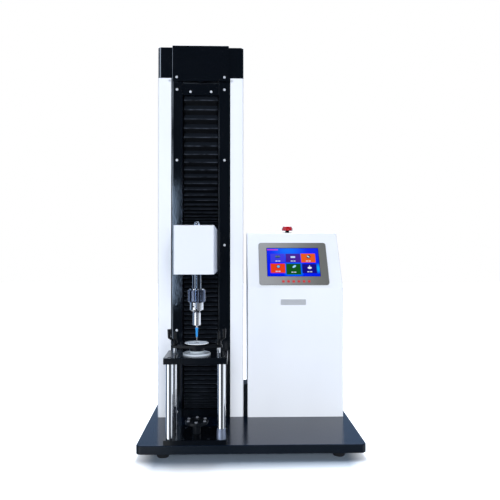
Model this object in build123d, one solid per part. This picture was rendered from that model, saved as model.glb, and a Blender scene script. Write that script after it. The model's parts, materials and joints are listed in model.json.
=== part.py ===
"""Single-column bench testing machine with a puncture fixture and a touch-screen control box.

Millimetres. The origin is the centre of the base plate at floor level, +Z is up, the front
looks along -Y and +X is to the operator's right. Every solid is drawn where it stands.
"""
import os
from math import cos, pi, radians, sin, tan

from build123d import *

# Clearances shared by all pieces
running_clearance = 0.05
screw_clearance = 0.15
loose_clearance = 0.3

# Base plate
base_width = 560
base_depth = 440
base_thickness = 21
base_corner_radius = 14
base_edge_radius = 2.5

# Rubber feet
foot_height = 15
foot_top_diameter = 33
foot_bottom_diameter = 29
foot_inset_x = 63
foot_inset_y = 30
foot_rim_radius = 1.5
foot_collar_height = 2
foot_recess_diameter = 16
foot_recess_depth = 8
foot_screw_reach = 14

# Machine screws
screw_head_round = 1.5
screw_head_room = 1
m4_shank = 4
m4_head = 7.4
m4_head_height = 2.6
m6_shank = 6
m6_head = 10
m6_head_height = 6

# Column
column_x = -138
column_width = 243
column_front = 16
column_depth = 175
column_height = 962
column_opening_width = 102.6
strip_width = 32.1
strip_thickness = 4
strip_end_inset = 33
strip_foot_inset = 16
strip_screw_gap = 241
strip_middle_screws = 3
strip_middle_rise = 246
cover_thickness = 2
cover_step = 2
cover_bend_radius = 5
cover_joint_gap = 0.5
cover_screw_inset = 4.5
cover_screw_drop = 8
rear_lip_width = 32
back_cover_thickness = 2
back_cover_lap = 18
back_screw_count = 5
back_screw_end_inset = 24
back_screw_reach = 6

# Column frame, a lipped channel that opens to the front
frame_half_width = 84
frame_wall = 6
frame_back_wall = 10
frame_depth = 108
frame_lip_reach = 28
frame_ear_width = 12
frame_head_room = 32
frame_foot_reach = 24
frame_foot_height = 12
frame_foot_inset = 20
frame_foot_depth = 70
frame_bolt_count = 3

# Top cap
cap_height = 88
cap_wall = 3
cap_corner_radius = 8
cap_front_half_width = 80
cap_front_proud = 8
cap_front_drop = 11
cap_front_rise = 2.7
cap_front_edge_radius = 4
cap_front_top_depth = 120
cap_boss_border = 1.5

# Guide rails and their carriages
rail_pitch = 90
rail_width = 20
rail_height = 17
rail_waist_depth = 2.5
rail_foot_height = 6
rail_waist_low = 8.5
rail_waist_high = 11
rail_head_low = 13.6
rail_end_gap = 26
carriage_width = 44
carriage_length = 60
carriage_height = 28
carriage_floor_gap = 4.6
carriage_pitch = 101

# Ball screw, bearings, belt and motor
screw_diameter = 16
screw_journal_diameter = 12
screw_setback = 20
bearing_width = 62
bearing_height = 24
bearing_depth = 38
lower_bearing_lift = 22
upper_bearing_drop = 24
pulley_height = 14
pulley_flange = 1.5
pulley_lift = 3
screw_pulley_diameter = 44
motor_pulley_diameter = 22
pulley_flange_reach = 2.5
belt_thickness = 1.8
belt_width = 10
motor_size = 58
motor_length = 112
motor_corner = 5
motor_shaft_diameter = 12
motor_shaft_depth = 26
motor_pilot_diameter = 36
motor_plate_thickness = 8
motor_plate_width = 92
motor_gap_to_frame = 1
motor_plug_size = 18

# Crosshead
head_rest_z = 447.7
head_height = 119.8
head_width = 98.8
head_x = -140.3
head_front = -216
head_wall = 2
head_corner_radius = 4
head_gap_to_column = 3
carriage_plate_width = 140
carriage_plate_height = 170
carriage_plate_thickness = 12
carriage_plate_corner = 6
nut_body_diameter = 28
nut_flange_diameter = 44
nut_flange_thickness = 8
nut_flange_half_flat = 18.5
nut_boss_width = 50
nut_boss_height = 38
nut_boss_rear_wall = 4
arm_cheek_thickness = 8
arm_half_width = 42
arm_root_thickness = 12
arm_root_height = 146
arm_root_overhang = 10
arm_top_plate = 12
arm_nose_depth = 26
arm_nose_reach = 30
arm_lightening_diameter = 34
arm_lightening_drop = 36.4
bellows_plate_thickness = 3

# Load axis and load train
load_x = -136.5
load_y = -162
cell_width = 51
cell_thickness = 20
cell_height = 60
cell_slot = 6
cell_eye_diameter = 16
cell_stud_diameter = 10
cell_stud_depth = 12
cap_nut_diameter = 14
cap_nut_height = 12
cap_nut_hex_height = 6
cap_nut_dome_diameter = 12
rod_diameter = 22.7
rod_exit_diameter = 30
chuck_top_z = 410.5
chuck_crown_height = 2.5
chuck_crown_diameter = 36
chuck_sleeve_diameter = 44.5
chuck_sleeve_height = 32
chuck_core_diameter = 32
chuck_body_diameter = 34
chuck_body_height = 18.4
chuck_nose_diameter = 17
chuck_nose_height = 6.6
chuck_flute_count = 18
chuck_flute_radius = 2.4
chuck_flute_depth = 0.9
chuck_sleeve_chamfer = 3
chuck_sleeve_edge = 1
chuck_key_holes = 3
chuck_key_hole_diameter = 6
chuck_key_hole_depth = 5
holder_diameter = 20
holder_height = 33
holder_shank_diameter = 10
holder_shank_depth = 30
holder_edge = 1.5
luer_diameter = 4.2
luer_height = 5.5
hub_top_diameter = 8.3
hub_low_diameter = 5
hub_height = 24
hub_rim_height = 3
hub_rim_reach = 1
hub_tip_height = 2
hub_tip_taper = 1
needle_diameter = 1.3
needle_reach = 27
needle_point_length = 3

# Puncture fixture
table_width = 155
table_depth = 114
table_top_thickness = 15
table_low_thickness = 12
table_height = 210
table_corner_radius = 3
table_edge = 0.8
post_diameter = 18.5
post_edge = 0.6
post_thread_depth = 16
post_pitch_x = 126
post_pitch_y = 88
post_collar_diameter = 23
post_collar_height = 25
post_collar_band = 7.5
post_collar_top_wall = 1.2
table_bore_diameter = 20
counterbore_depth = 7
low_screw_pitch = 64
clamp_low_diameter = 69.5
clamp_low_height = 4
clamp_low_dish = 1.4
clamp_low_dish_gap = 2
clamp_low_dish_width = 6
clamp_low_edge = 1
specimen_gap = 0.4
clamp_hole_diameter = 14
clamp_boss_diameter = 38
clamp_bar_thickness = 6
clamp_bar_end_radius = 10
clamp_bar_middle_radius = 23
clamp_disc_diameter = 59.5
clamp_disc_thickness = 6
clamp_disc_edge = 0.6
clamp_disc_rim = 2.4
clamp_disc_neck_diameter = 40
clamp_mouth_reach = 3
clamp_mouth_depth = 2
standoff_pitch = 110
standoff_diameter = 8.6
standoff_floor = 2
standoff_height = 17
lever_screw_diameter = 5
lever_screw_depth = 12
lever_hub_diameter = 14
lever_hub_height = 15
lever_hub_top_diameter = 11
lever_hub_skirt = 5
lever_hub_edge = 0.8
lever_spindle_diameter = 7
lever_spindle_height = 19
lever_spindle_edge = 1.5
lever_arm_diameter = 6
lever_arm_reach = 14
lever_arm_rise = 12
lever_grip_diameter = 10
lever_grip_height = 24
lever_grip_foot_diameter = 7
left_lever_heading = 196
right_lever_heading = 8

# Lower adapter that stands on the bottom plate
adapter_stem_diameter = 20
adapter_stem_height = 24
adapter_disc_diameter = 58
adapter_disc_height = 8
adapter_bore_diameter = 12
adapter_bore_depth = 22
adapter_screw_circle = 47
adapter_screw_count = 6
adapter_edge = 1

# Control box
box_left = -5
box_width = 272
box_front = 13
box_back = 200
box_height = 526
box_slant_height = 160
box_slant_deg = 34
box_wall = 2
box_bend_radius = 5
box_side_radius = 2.5
box_lip = 14
panel_thickness = 2
panel_screw_inset = 7
panel_screw_rows = 4
vent_count = 9
vent_width = 70
vent_slot = 4
vent_pitch = 10
vent_lift = 330
vent_side_inset = 86

# Touch screen
screen_x = 129
bezel_width = 200
bezel_height = 145
bezel_thickness = 6
bezel_corner_radius = 8
bezel_edge = 1.5
bezel_lift = 8
glass_width = 154
glass_height = 100
glass_lift = 26
glass_recess = 1
glass_window_border = 10
glass_clearance = 0.2

# Badge plate
badge_width = 72
badge_height = 16
badge_thickness = 1
badge_x = 125
badge_drop = 41
badge_corner_radius = 1.5

# Emergency stop
estop_x = 121
estop_back_inset = 42
estop_collar_diameter = 30
estop_collar_height = 2
estop_collar_edge = 1
estop_barrel_diameter = 22
estop_barrel_depth = 34
estop_stem_diameter = 12
estop_neck_diameter = 20
estop_neck_height = 7
estop_travel = 5
estop_head_diameter = 33
estop_head_height = 14
estop_head_skirt = 6
estop_head_crown_radius = 6
estop_head_edge = 1
estop_head_shoulder = 3
estop_finger_hollows = 3
estop_hollow_diameter = 8
estop_hollow_height = 7
estop_hollow_setback = 1.5

# Power inlet with its rocker
inlet_side_inset = 40
inlet_lift = 54
inlet_width = 30
inlet_height = 58
inlet_flange = 3
inlet_body_depth = 26
inlet_flange_border = 2
socket_width = 24
socket_height = 17
socket_depth = 16
socket_drop = 14
blade_width = 4
blade_thickness = 2
blade_length = 12
blade_pitch = 14
blade_rise = 2
rocker_width = 13
rocker_height = 18.4
rocker_depth = 10.5
rocker_valley = 2.3
rocker_tilt_deg = 9
rocker_heel_height = 11
rocker_well_room = 2.1
rocker_rise = 13
rocker_pin_diameter = 2.6
rocker_pin_length = 2

# Board, supply and the cover of the gap between column and box
board_width = 120
board_height = 150
board_thickness = 1.6
board_lift = 250
board_side_inset = 30
board_pillar_diameter = 6
board_pillar_height = 9
board_pillar_inset = 6
processor_size = 28
processor_height = 4
processor_left = 20
processor_lift = 60
terminal_length = 44
terminal_height = 14
terminal_depth = 10
terminal_left = 64
terminal_lift = 12
driver_width = 20
driver_height = 38
driver_depth = 12
driver_left = 66
driver_lift = 96
capacitor_diameter = 14
capacitor_height = 18
capacitor_left = 30
capacitor_lift = 118
supply_width = 98
supply_depth = 42
supply_height = 158
supply_side_inset = 30
supply_back_gap = 36
supply_terminal_inset = 8
supply_terminal_height = 14
gap_cover_height = 90
gap_cover_depth = 60
gap_cover_setback = 14
gap_cover_clearance = 0.2
gap_cover_edge = 1.5

# Bellows
bellows_half_width = 49
bellows_ridge_setback = 4
bellows_pleat_depth = 10
bellows_side_pleat = 6
bellows_depth = 26
bellows_sheet = 1.4
upper_pleats = 23
upper_tight_pleat = 6.5
upper_loose_pleat = 28
upper_gather = 22
lower_pleats = 33
lower_tight_pleat = 6
lower_loose_pleat = 13.5
lower_gather = 10
bracket_front_setback = 3
bracket_back_thickness = 3
bracket_side_overlap = 18
upper_bracket_height = 36
upper_bracket_recess_height = 17
upper_bracket_recess_width = 92
upper_bracket_recess_depth = 2
upper_bracket_top_gap = 12
lower_bracket_height = 22
bracket_screw_pitch = 58.6
bracket_screw_reach = 6

# Limit switches
switch_size = 6
switch_height = 26
switch_depth = 16
switch_roller = 3
upper_switch_z = 930
lower_switch_z = 372

# Levels and planes worked out from the sizes above
base_top = foot_height + base_thickness
column_top = base_top + column_height
column_rear = column_front + column_depth
column_half_width = column_width / 2
opening_half = column_opening_width / 2
strip_rear = column_front + strip_thickness
strip_outer = opening_half + strip_width
frame_front = strip_rear
frame_lip_rear = frame_front + frame_wall
frame_rear = frame_front + frame_depth
rail_plane = frame_rear - frame_back_wall
frame_top = column_top + frame_head_room
cap_inner_front = column_front + cover_step + cap_wall
strip_screw_offset = opening_half + strip_width / 2
carriage_front = rail_plane - carriage_height
plate_front = carriage_front - carriage_plate_thickness
screw_y = rail_plane - screw_setback
head_top = head_rest_z + head_height
head_middle = head_rest_z + head_height / 2
head_rear = column_front - head_gap_to_column
bellows_front = column_front + bellows_ridge_setback
bellows_rear = bellows_front + bellows_depth
upper_bracket_top = column_top - upper_bracket_top_gap
upper_bellows_top = upper_bracket_top - upper_bracket_height - loose_clearance
upper_bellows_low = head_top - head_wall + loose_clearance
lower_bellows_top = head_rest_z + head_wall - loose_clearance
lower_bellows_low = base_top + lower_bracket_height + loose_clearance
pulley_low = base_top + pulley_lift
pulley_top = pulley_low + pulley_height
lower_bearing_low = base_top + lower_bearing_lift
upper_bearing_top = column_top - upper_bearing_drop
motor_y = frame_rear + motor_gap_to_frame + motor_size / 2
motor_plate_low = lower_bearing_low
motor_low = motor_plate_low + motor_plate_thickness
chuck_sleeve_top = chuck_top_z - chuck_crown_height
chuck_sleeve_low = chuck_sleeve_top - chuck_sleeve_height
chuck_nose_z = chuck_sleeve_low - chuck_body_height - chuck_nose_height
holder_low = chuck_nose_z - holder_height
hub_top = holder_low - luer_height
hub_low = hub_top - hub_height
arm_plate_top = head_top - head_wall
arm_plate_low = arm_plate_top - arm_top_plate
cell_top = arm_plate_low
cell_low = cell_top - cell_height
table_low_top = base_top + table_low_thickness
table_top = base_top + table_height
table_under = table_top - table_top_thickness
clamp_low_top = table_top + clamp_low_height
standoff_top = table_top + standoff_height
clamp_bar_top = standoff_top + clamp_bar_thickness
clamp_disc_top = clamp_bar_top + clamp_disc_thickness
adapter_disc_low = table_low_top + adapter_stem_height
adapter_top = adapter_disc_low + adapter_disc_height
box_right = box_left + box_width
box_top = base_top + box_height
box_bend_z = box_top - box_slant_height
panel_front = box_back - panel_thickness
inlet_x = box_right - inlet_side_inset
inlet_z = base_top + inlet_lift
rocker_z = inlet_z + rocker_rise
rocker_y = box_back - rocker_depth / 4
estop_y = box_back - estop_back_inset
estop_head_low = box_top + estop_collar_height + estop_travel + 1
estop_neck_low = estop_head_low


def block(x_span, y_span, z_span):
    """A box between three pairs of planes."""
    spans = (x_span, y_span, z_span)
    size = [high - low for low, high in spans]
    middle = [(high + low) / 2 for low, high in spans]
    return Pos(*middle) * Box(*size)


def upright(x, y, diameter, low, high):
    """A vertical cylinder between two levels."""
    return Pos(x, y, (low + high) / 2) * Cylinder(diameter / 2, high - low)


def along_y(x, z, diameter, front, rear):
    """A cylinder that runs front to back."""
    return Pos(x, (front + rear) / 2, z) * Rot(90, 0, 0) * Cylinder(diameter / 2, rear - front)


def ordered(first, second):
    """Two planes, the lower one first."""
    return (min(first, second), max(first, second))


def mirrored(offset):
    """The two places at equal distances left and right of a middle."""
    return (-offset, offset)


def turned(points, x, y):
    """A solid of revolution about a vertical axis from (radius, level) points."""
    outline = Polyline(*[(radius, 0, level) for radius, level in points], close=True)
    return Pos(x, y, 0) * revolve(make_face(outline), Axis.Z)


def round_uprights(shape, radius):
    """Rounds every vertical edge of a solid."""
    return fillet(shape.edges().filter_by(Axis.Z), radius)


def pan_screw_front(x, face_y, z, reach):
    """A pan-head M4 screw driven from the front into the machine."""
    shank = along_y(x, z, m4_shank, face_y, face_y + reach)
    head = along_y(x, z, m4_head, face_y - m4_head_height, face_y)
    head = fillet(head.faces().sort_by(Axis.Y)[0].edges(), screw_head_round)
    return shank + head


def pan_screw_rear(x, face_y, z, reach):
    """A pan-head M4 screw driven from behind."""
    return mirror(pan_screw_front(x, -face_y, z, reach), Plane.XZ)


def socket_screw_down(x, y, face_z, reach, shank, head, head_height):
    """A socket-head screw that stands with its shank downwards."""
    body = upright(x, y, head, face_z, face_z + head_height)
    key = upright(x, y, head * 0.5, face_z + head_height * 0.5, face_z + head_height)
    return body - key + upright(x, y, shank, face_z - reach, face_z)


def slope_place(across, up, out):
    """A place on the slanted face, from its lower bend and the screen's middle."""
    slant = radians(box_slant_deg)
    outward = (0, -cos(slant), sin(slant))
    face = Plane(origin=(screen_x, box_front, box_bend_z), x_dir=(1, 0, 0), z_dir=outward)
    return face.location * Pos(across, up, out)


def foot_places():
    """Middle of each foot."""
    reach_x = base_width / 2 - foot_inset_x
    reach_y = base_depth / 2 - foot_inset_y
    return [(x, y) for x in mirrored(reach_x) for y in mirrored(reach_y)]


def frame_bolt_places():
    """Bolts that hold the column frame to the base plate."""
    first = frame_front + frame_foot_inset + m6_head
    last = frame_front + frame_foot_inset + frame_foot_depth - m6_head
    step = (last - first) / (frame_bolt_count - 1)
    reach = frame_half_width + frame_foot_reach / 2
    return [(column_x + x, first + step * i) for x in mirrored(reach) for i in range(frame_bolt_count)]


def post_places():
    """Middle of each fixture post."""
    xs = mirrored(post_pitch_x / 2)
    ys = mirrored(post_pitch_y / 2)
    return [(load_x + x, load_y + y) for x in xs for y in ys]


def low_screw_places():
    """Screws that hold the fixture's bottom plate to the base."""
    xs = mirrored(low_screw_pitch / 2)
    ys = mirrored(post_pitch_y / 2)
    return [(load_x + x, load_y + y) for x in xs for y in ys]


def standoff_places():
    """Middle of each clamp standoff."""
    return [(load_x + x, load_y) for x in mirrored(standoff_pitch / 2)]


def adapter_screw_places():
    """Screws round the flange of the lower adapter."""
    places = []
    for i in range(adapter_screw_count):
        turn = 2 * pi * (i + 0.5) / adapter_screw_count
        reach = adapter_screw_circle / 2
        places.append((load_x + reach * cos(turn), load_y + reach * sin(turn)))
    return places


def strip_screw_levels():
    """Heights of the screws in a front strip, from the top down."""
    middle = [base_top + strip_middle_rise + strip_screw_gap * i for i in range(strip_middle_screws)]
    return [column_top - strip_end_inset] + middle[::-1] + [base_top + strip_foot_inset]


def back_screw_levels():
    """Heights of the screws in the column's back cover."""
    low = base_top + back_screw_end_inset
    high = column_top - back_screw_end_inset
    step = (high - low) / (back_screw_count - 1)
    return [low + step * i for i in range(back_screw_count)]


def panel_screw_places():
    """Screws round the edge of the control box's back panel, as (x, z)."""
    low = base_top + panel_screw_inset
    step = (box_top - panel_screw_inset - low) / (panel_screw_rows - 1)
    sides = (box_left + panel_screw_inset, box_right - panel_screw_inset)
    return [(x, low + step * i) for x in sides for i in range(panel_screw_rows)]


def base_plate():
    plate = block(mirrored(base_width / 2), mirrored(base_depth / 2), (foot_height, base_top))
    plate = round_uprights(plate, base_corner_radius)
    plate = fillet(plate.faces().sort_by(Axis.Z)[-1].edges(), base_edge_radius)
    for x, y in foot_places():
        plate -= upright(x, y, m6_shank + 2 * screw_clearance, foot_height, foot_height + foot_screw_reach)
    for x, y in frame_bolt_places():
        plate -= upright(x, y, m6_shank + 2 * screw_clearance, foot_height, base_top)
        head_top_z = foot_height + m6_head_height + screw_head_room
        plate -= upright(x, y, m6_head + screw_head_room, foot_height, head_top_z)
    for x, y in low_screw_places():
        plate -= upright(x, y, m6_shank + 2 * screw_clearance, base_top - foot_screw_reach, base_top)
    return plate


def base_screws():
    """Screws that hold the feet and the column frame, driven from below."""
    screws = []
    for x, y in foot_places():
        head = upright(x, y, m6_head, foot_recess_depth - m6_head_height / 2, foot_recess_depth)
        reach = foot_height + foot_screw_reach - 1
        screws.append(head + upright(x, y, m6_shank, foot_recess_depth, reach))
    for x, y in frame_bolt_places():
        seat = foot_height + m6_head_height + screw_head_room
        head = upright(x, y, m6_head, seat - m6_head_height, seat)
        screws.append(head + upright(x, y, m6_shank, seat, base_top + frame_foot_height))
    return Compound(children=screws)


def rubber_feet():
    feet = []
    for x, y in foot_places():
        foot = turned(
            [
                (0, 0),
                (foot_bottom_diameter / 2 - foot_rim_radius, 0),
                (foot_bottom_diameter / 2, foot_rim_radius),
                (foot_top_diameter / 2, foot_height - foot_collar_height),
                (foot_top_diameter / 2, foot_height),
                (0, foot_height),
            ],
            x,
            y,
        )
        foot -= upright(x, y, foot_recess_diameter, 0, foot_recess_depth)
        foot -= upright(x, y, m6_shank + 2 * screw_clearance, 0, foot_height)
        feet.append(foot)
    return Compound(children=feet)


def column_frame():
    """The lipped channel that carries the rails, with its feet and the belt's window."""
    outer = (column_x - frame_half_width, column_x + frame_half_width)
    inner = (outer[0] + frame_wall, outer[1] - frame_wall)
    lip_edge = frame_half_width - frame_lip_reach
    mouth = (column_x - lip_edge, column_x + lip_edge)
    ears = (outer[0] - frame_ear_width, outer[1] + frame_ear_width)
    frame = block(outer, (frame_front, frame_rear), (base_top, frame_top))
    frame -= block(inner, (frame_lip_rear, rail_plane), (base_top, frame_top))
    frame += block(ears, (frame_front, frame_lip_rear), (base_top, frame_top))
    frame -= block(mouth, (frame_front, frame_lip_rear), (base_top, frame_top))
    frame -= block(ears, (frame_front, cap_inner_front + loose_clearance), (column_top, frame_top))
    foot_y = frame_front + frame_foot_inset
    for side in (-1, 1):
        near = column_x + side * frame_half_width
        far = near + side * frame_foot_reach
        foot_depth = (foot_y, foot_y + frame_foot_depth)
        frame += block(ordered(near, far), foot_depth, (base_top, base_top + frame_foot_height))
    for x, y in frame_bolt_places():
        frame -= upright(x, y, m6_shank + 2 * screw_clearance, base_top, base_top + frame_foot_height)
    window = screw_pulley_diameter / 2 + pulley_flange_reach + belt_thickness + 2
    window_span = (column_x - window, column_x + window)
    frame -= block(window_span, (rail_plane, frame_rear), (base_top, lower_bearing_low))
    hole = m4_shank + 2 * screw_clearance
    for x in mirrored(strip_screw_offset):
        for z in strip_screw_levels():
            frame -= along_y(column_x + x, z, hole, frame_front, frame_lip_rear)
        frame -= along_y(column_x + x, column_top, hole, frame_front, frame_lip_rear)
    for x in mirrored(strip_outer + cover_joint_gap + cover_screw_inset):
        frame -= along_y(column_x + x, column_top - cover_screw_drop, hole, frame_front, frame_lip_rear)
    return frame


def side_cover(side):
    """A sheet folded round one side of the column, with a front return and a rear lip."""
    outer = column_x + side * column_half_width
    inner = column_x + side * (strip_outer + cover_joint_gap)
    front = column_front + cover_step
    rear = column_rear - back_cover_thickness
    levels = (base_top, column_top)
    cover = block(ordered(outer, inner), (front, front + cover_thickness), levels)
    cover += block(ordered(outer, outer - side * cover_thickness), (front, rear), levels)
    cover += block(ordered(outer, outer - side * rear_lip_width), (rear - cover_thickness, rear), levels)
    corners = [e for e in cover.edges().filter_by(Axis.Z) if abs(e.center().X - outer) < cover_thickness / 2]
    cover = fillet(corners, cover_bend_radius)
    hole_x = column_x + side * (strip_outer + cover_joint_gap + cover_screw_inset)
    hole = m4_shank + 2 * screw_clearance
    cover -= along_y(hole_x, column_top - cover_screw_drop, hole, front, front + cover_thickness)
    for z in back_screw_levels():
        cover -= along_y(column_x + side * back_screw_offset(), z, hole, rear - cover_thickness, rear)
    return cover


def back_screw_offset():
    """Distance of the back cover's screws from the column's middle plane."""
    return column_half_width - rear_lip_width + back_cover_lap / 2


def side_covers():
    return Compound(children=[side_cover(-1), side_cover(1)])


def front_strips():
    strips = []
    for side in (-1, 1):
        near = column_x + side * opening_half
        far = column_x + side * strip_outer
        strip = block(ordered(near, far), (column_front, strip_rear), (base_top, column_top))
        hole = m4_shank + 2 * screw_clearance
        for z in strip_screw_levels():
            strip -= along_y(column_x + side * strip_screw_offset, z, hole, column_front, strip_rear)
        strip -= along_y(column_x + side * strip_screw_offset, column_top, hole, column_front, strip_rear)
        strips.append(strip)
    return Compound(children=strips)


def front_screws():
    """Pan-head screws of the strips, the side covers, the cap and the upper bracket."""
    screws = []
    for x in mirrored(strip_screw_offset):
        for z in strip_screw_levels():
            screws.append(pan_screw_front(column_x + x, column_front, z, strip_thickness + frame_wall))
        cap_face = column_front - cap_front_proud
        reach = cap_front_proud + strip_thickness + frame_wall
        screws.append(pan_screw_front(column_x + x, cap_face, column_top, reach))
    for x in mirrored(strip_outer + cover_joint_gap + cover_screw_inset):
        face = column_front + cover_step
        level = column_top - cover_screw_drop
        screws.append(pan_screw_front(column_x + x, face, level, cover_thickness + frame_wall))
    for x in mirrored(bracket_screw_pitch / 2):
        face = column_front + bracket_front_setback
        screws.append(pan_screw_front(column_x + x, face, bracket_screw_z(), bracket_screw_reach))
    return Compound(children=screws)


def bracket_screw_z():
    """Height of the two screws in the upper bellows bracket."""
    return upper_bracket_top - (upper_bracket_height + upper_bracket_recess_height) / 2


def column_back_cover():
    reach = column_half_width - rear_lip_width + back_cover_lap
    span = (column_x - reach, column_x + reach)
    cover = block(span, (column_rear - back_cover_thickness, column_rear), (base_top, column_top))
    for x in mirrored(back_screw_offset()):
        for z in back_screw_levels():
            hole = m4_shank + 2 * screw_clearance
            cover -= along_y(column_x + x, z, hole, column_rear - back_cover_thickness, column_rear)
    return cover


def rear_screws():
    """Pan-head screws of the column's back cover and of the control box's back panel."""
    screws = []
    for x in mirrored(back_screw_offset()):
        for z in back_screw_levels():
            screws.append(pan_screw_rear(column_x + x, column_rear, z, back_screw_reach))
    for x, z in panel_screw_places():
        screws.append(pan_screw_rear(x, box_back, z, back_screw_reach))
    return Compound(children=screws)


def top_cap():
    """A deep lid with an open underside that closes the column."""
    span = (column_x - column_half_width, column_x + column_half_width)
    front = column_front + cover_step
    cap = block(span, (front, column_rear), (column_top, column_top + cap_height))
    cap = round_uprights(cap, cap_corner_radius)
    cap = chamfer(cap.faces().sort_by(Axis.Z)[-1].edges(), cap_wall / 2)
    inner = (span[0] + cap_wall, span[1] - cap_wall)
    inside = (front + cap_wall, column_rear - cap_wall)
    cap -= block(inner, inside, (column_top, column_top + cap_height - cap_wall))
    for x in mirrored(strip_screw_offset):
        cap -= along_y(column_x + x, column_top, m4_shank + 2 * screw_clearance, front, front + cap_wall)
    return cap


def top_cap_front():
    """The proud middle of the cap, folded back over its top."""
    span = (column_x - cap_front_half_width, column_x + cap_front_half_width)
    front = column_front - cap_front_proud
    low = column_top - cap_front_drop
    high = column_top + cap_height + cap_front_rise
    rear = column_front + cover_step
    shell = block(span, (front, rear), (low, high))
    shell += block(span, (rear, rear + cap_front_top_depth), (column_top + cap_height, high))
    top_edge = shell.edges().filter_by(Axis.X).sort_by(lambda e: e.center().Y - e.center().Z)[0]
    shell = fillet(top_edge, cap_front_edge_radius)
    uprights = shell.edges().filter_by(Axis.Z).sort_by(Axis.Y)[:2]
    shell = fillet(uprights, cap_front_edge_radius / 2)
    inner = (span[0] + cap_wall, span[1] - cap_wall)
    shell -= block(inner, (front + cap_wall, rear), (low, column_top + cap_height - cap_wall))
    shell -= block(span, (column_front, rear), (low, column_top))
    for x in mirrored(strip_screw_offset):
        boss = m4_head + 2 * cap_boss_border
        shell += along_y(column_x + x, column_top, boss, front + cap_wall, column_front)
        shell -= along_y(column_x + x, column_top, m4_shank + 2 * screw_clearance, front, rear)
    shell -= block(span, (column_front, rear), (low, column_top))
    return shell


def bellows_brackets():
    """End plates of the bellows: a recessed one at the top and a plain one at the base."""
    front = column_front + bracket_front_setback
    half = opening_half - 1
    wide = opening_half + bracket_side_overlap
    upper_z = (upper_bracket_top - upper_bracket_height, upper_bracket_top)
    lower_z = (base_top, base_top + lower_bracket_height)
    back = (frame_lip_rear, frame_lip_rear + bracket_back_thickness)
    pieces = []
    for levels in (upper_z, lower_z):
        piece = block((column_x - half, column_x + half), (front, frame_lip_rear), levels)
        piece += block((column_x - wide, column_x + wide), back, levels)
        pieces.append(piece)
    recess = (column_x - upper_bracket_recess_width / 2, column_x + upper_bracket_recess_width / 2)
    recess_z = (upper_bracket_top - upper_bracket_recess_height, upper_bracket_top)
    pieces[0] -= block(recess, (front, front + upper_bracket_recess_depth), recess_z)
    for x in mirrored(bracket_screw_pitch / 2):
        hole = m4_shank + 2 * screw_clearance
        pieces[0] -= along_y(column_x + x, bracket_screw_z(), hole, front, front + bracket_screw_reach)
    return Compound(children=pieces)


def pleat_levels(low, high, count, tight, loose, gather):
    """Fold levels of a hanging bellows: tight pleats below open into loose ones above."""
    widths = []
    for i in range(count):
        share = min(1, i / gather)
        ease = share * share * (3 - 2 * share)
        widths.append(tight + (loose - tight) * ease)
    scale = (high - low) / sum(widths)
    levels = [low]
    for width in widths:
        levels.append(levels[-1] + width * scale)
    return levels


def pleated_outline(levels, valley, ridge, base):
    """A toothed outline, as (reach, level) points: valleys at the levels, ridges between."""
    points = [(base, levels[0]), (valley, levels[0])]
    for low, high in zip(levels, levels[1:]):
        points.append((ridge, (low + high) / 2))
        points.append((valley, high))
    points.append((base, levels[-1]))
    return points


def bellows(levels):
    """Pleats across the front and down both sides, open at the back."""
    half_height = levels[-1] - levels[0]

    def pleated_body(inset):
        ridge = bellows_front + inset
        front = pleated_outline(levels, ridge + bellows_pleat_depth, ridge, bellows_rear)
        face = make_face(Polyline(*[(0, y, z) for y, z in front], close=True))
        body = extrude(face, amount=bellows_half_width + bellows_sheet, both=True, dir=(1, 0, 0))
        body = Pos(column_x, 0, 0) * body
        reach = bellows_half_width - inset
        side = pleated_outline(levels, reach - bellows_side_pleat, reach, 0)
        mirrored_side = [(-x, z) for x, z in side]
        profile = side[1:-1] + list(reversed(mirrored_side[1:-1]))
        face = make_face(Polyline(*[(x, 0, z) for x, z in profile], close=True))
        across = extrude(face, amount=bellows_rear + half_height, both=True, dir=(0, 1, 0))
        return body & (Pos(column_x, 0, 0) * across)

    return pleated_body(0) - pleated_body(bellows_sheet)


def upper_bellows():
    return bellows(
        pleat_levels(
            upper_bellows_low,
            upper_bellows_top,
            upper_pleats,
            upper_tight_pleat,
            upper_loose_pleat,
            upper_gather,
        )
    )


def lower_bellows():
    return bellows(
        pleat_levels(
            lower_bellows_low,
            lower_bellows_top,
            lower_pleats,
            lower_tight_pleat,
            lower_loose_pleat,
            lower_gather,
        )
    )


def rail_outline():
    """Cross-section of a rail with its waisted sides, drawn from the rail's seat."""
    half = rail_width / 2
    waist = half - rail_waist_depth
    side = [
        (half, 0),
        (half, -rail_foot_height),
        (waist, -rail_waist_low),
        (waist, -rail_waist_high),
        (half, -rail_head_low),
        (half, -rail_height),
    ]
    return side + [(-x, y) for x, y in reversed(side)]


def guide_rails():
    rails = []
    low = base_top + rail_end_gap
    for x in mirrored(rail_pitch / 2):
        outline = [(column_x + x + across, rail_plane + out, low) for across, out in rail_outline()]
        face = make_face(Polyline(*outline, close=True))
        rails.append(extrude(face, amount=column_height - 2 * rail_end_gap, dir=(0, 0, 1)))
    return Compound(children=rails)


def rail_carriages():
    """Four recirculating carriages, two to a rail, that clear it all round."""
    blocks = []
    for x in mirrored(rail_pitch / 2):
        for z in mirrored(carriage_pitch / 2):
            middle = column_x + x
            level = head_middle + z
            span = (middle - carriage_width / 2, middle + carriage_width / 2)
            levels = (level - carriage_length / 2, level + carriage_length / 2)
            body = block(span, (carriage_front, rail_plane - carriage_floor_gap), levels)
            slot = (middle - rail_width / 2 - loose_clearance, middle + rail_width / 2 + loose_clearance)
            slot_front = rail_plane - rail_height - loose_clearance
            body -= block(slot, (slot_front, rail_plane), levels)
            blocks.append(body)
    return Compound(children=blocks)


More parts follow.
